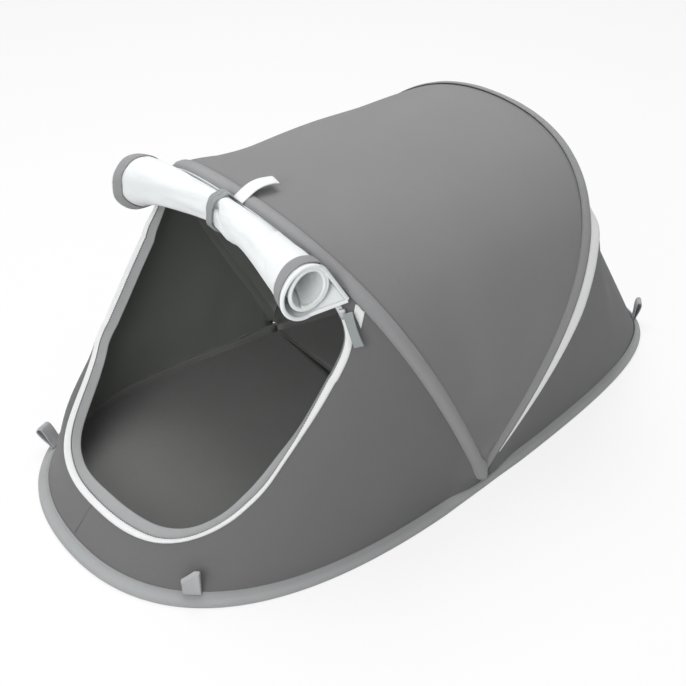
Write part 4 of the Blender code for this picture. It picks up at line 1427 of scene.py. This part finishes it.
zipTapeEnd = clothSheet("zipTapeEnd", "whiteTape", tapeEnd["thickness"], tapeEnd["grid"], tapeEndAt)
seat(zipTapeEnd, "white_tape", None, "front_arch")
print("strap, slider and tab made")

pegLoops = {
    "webbing": 0.025, "cloth": 0.0016, "length": 0.036, "root": 0.010, "eye": 0.0042, "eyeShare": 0.09,
    "rootGap": 0.0009, "seat": 0.86, "rise": 0.0016, "grid": (12, 60),
}


def loopTrack(v):
    # Half gap of the folded webbing along its length: up one side, round the eye, down the other
    away, side = abs(v - 0.5), -1 if v < 0.5 else 1
    eye, eyeShare, gap, root = (pegLoops[name] for name in ("eye", "eyeShare", "rootGap", "root"))
    tip = pegLoops["length"] - eye
    if away < eyeShare:
        turn = (v - 0.5) / eyeShare * math.pi / 2
        return tip + eye * math.cos(turn), eye * math.sin(turn)
    along = tip * (1 - (away - eyeShare) / (0.5 - eyeShare))
    opened = min(1.0, max(0.0, (along - root * 0.5) / (tip - root * 0.5)))
    return along, side * between(gap, eye, math.sin(opened * math.pi / 2) ** 1.6)


def pegLoop(side, node, hoop, across, lean, slant, eye, turned=0.0, tall=1.0):
    # Folded webbing on a floor tape: lean and turned in degrees, slant of its root, its eye's and its own size
    t = hoop.acrossT(across)
    foot, slope, face, _ = groundFrame(hoop, t)
    where = foot + slope * (groundTape["width"][hoop] * pegLoops["seat"]) + face * pegLoops["rise"]
    up = Vector((0, 0, 1))
    around = Matrix.Rotation(math.radians(turned), 3, up)
    along = around @ hoop.tangent(t)
    out = hoop.point(t, -1.0) - hoop.point(t)
    out = around @ Vector((out.x, out.y, 0)).normalized()
    tilt = math.radians(lean)
    runOut = up * math.cos(tilt) + out * math.sin(tilt)
    wide = out * math.cos(tilt) - up * math.sin(tilt)

    def shapeAt(u, v):
        high, half = loopTrack(v)
        half *= eye
        high *= tall * (1 - slant * max(0.0, 0.75 - u))
        k = (u - 0.5) * pegLoops["webbing"]
        skew = 0.0012 * math.sin(high * 90) * (u - 0.5)
        spot = where + runOut * high + wide * (half + skew) + along * k
        return spot, (u * pegLoops["webbing"], v * 0.075), 0.0

    inside = where + runOut * 0.02
    piece = clothSheet(
        "pegLoop" + side, "loopTape", pegLoops["cloth"], pegLoops["grid"], shapeAt, inside, offset=1.0
    )
    seat(piece, "loop_webbing", node, node)


pegLoop(
    "FrontRight", "peg_loop_front_right", frontFloor, across=0.204, lean=2.0, slant=0.55, eye=0.55, tall=1.14
)
pegLoop("FrontLeft", "peg_loop_front_left", frontFloor, across=-0.204, lean=34.0, slant=0.15, eye=1.0, tall=1.05)
pegLoop("RearRight", "peg_loop_rear_right", rearFloor, across=0.111, lean=9.0, slant=0.1, eye=0.8, turned=-16.0)
pegLoop("RearLeft", "peg_loop_rear_left", rearFloor, across=-0.111, lean=14.0, slant=0.1, eye=0.8, turned=12.0)
print("peg loops made")

view = {
    "azimuth": 0.9048,
    "elevation": 0.6013,
    "distance": 1.9176,
    "target": (-0.0715, -0.0015, 0.0785),
    "roll": 0.008,
    "focalPixels": 1165.5,
    "imagePixels": 686,
}


def addCamera():
    az, el = view["azimuth"], view["elevation"]
    back = Vector((math.sin(az) * math.cos(el), -math.cos(az) * math.cos(el), math.sin(el)))
    right = Vector((math.cos(az), math.sin(az), 0))
    up = back.cross(right)
    c, s = math.cos(view["roll"]), math.sin(view["roll"])
    right, up = right * c + up * s, up * c - right * s
    camera = bpy.data.cameras.new("camera")
    camera.sensor_width = 36
    camera.lens = 36 * view["focalPixels"] / view["imagePixels"]
    made = bpy.data.objects.new("camera", camera)
    bpy.context.scene.collection.objects.link(made)
    place = Vector(view["target"]) + back * view["distance"]
    made.matrix_world = Matrix.Translation(place) @ Matrix((right, up, back)).transposed().to_4x4()
    bpy.context.scene.camera = made


addCamera()

studio = {
    "floorSize": 6.0,
    "floorLevel": -0.0006,
    "shadow": 0.20,
    "worldLight": 0.60,
    "lampSize": 1.6,
    "keyLamp": {"energy": 31.5, "place": (-0.60, 0.15, 2.3)},
    "fillLamp": {"energy": 27.0, "place": (1.0, -2.05, 1.3)},
}
white = (1, 1, 1, 1)


def addFloor():
    made = bmesh.new()
    bmesh.ops.create_grid(made, x_segments=2, y_segments=2, size=studio["floorSize"])
    for vert in made.verts:
        vert.co.z = studio["floorLevel"]
    finish = Finish("paleFloor", 0.9, Base_Color=(0.8, 0.8, 0.8, 1))
    seen = finish.raysOf("Camera", "Glossy", "Transmission")
    glow = finish.node("ShaderNodeEmission", None, {"Color": white, "Strength": 1.0})
    shaded = Signal(finish, finish.shader.outputs[0])
    finish.mixShaders(seen * (1 - studio["shadow"]), shaded, glow, "Material Output")
    addPiece("paleFloor", made, finish.material)


def addWorld():
    # Even light for the tent, plain white for the camera
    world = bpy.data.worlds.new("studio")
    world.use_nodes = True
    nodes = Nodes(world.node_tree)
    background = nodes.tree.nodes["Background"]
    background.inputs["Color"].default_value = white
    background.inputs["Strength"].default_value = studio["worldLight"]
    plain = nodes.node("ShaderNodeBackground", None, {"Color": white, "Strength": 1.0})
    nodes.mixShaders(nodes.raysOf("Camera", "Glossy"), Signal(nodes, background.outputs[0]), plain, "World Output")
    bpy.context.scene.world = world


def addLamp(name):
    place = Vector(studio[name]["place"])
    lamp = bpy.data.lights.new(name, "AREA")
    lamp.shape = "DISK"
    lamp.size = studio["lampSize"]
    lamp.energy = studio[name]["energy"]
    made = bpy.data.objects.new(name, lamp)
    bpy.context.scene.collection.objects.link(made)
    made.location = place
    made.rotation_euler = (Vector((0, 0, 0.2)) - place).to_track_quat("-Z", "Y").to_euler()


addFloor()
addWorld()
addLamp("keyLamp")
addLamp("fillLamp")
bpy.context.scene.view_settings.view_transform = "Standard"
print("camera and light made")

bpy.context.view_layer.update()
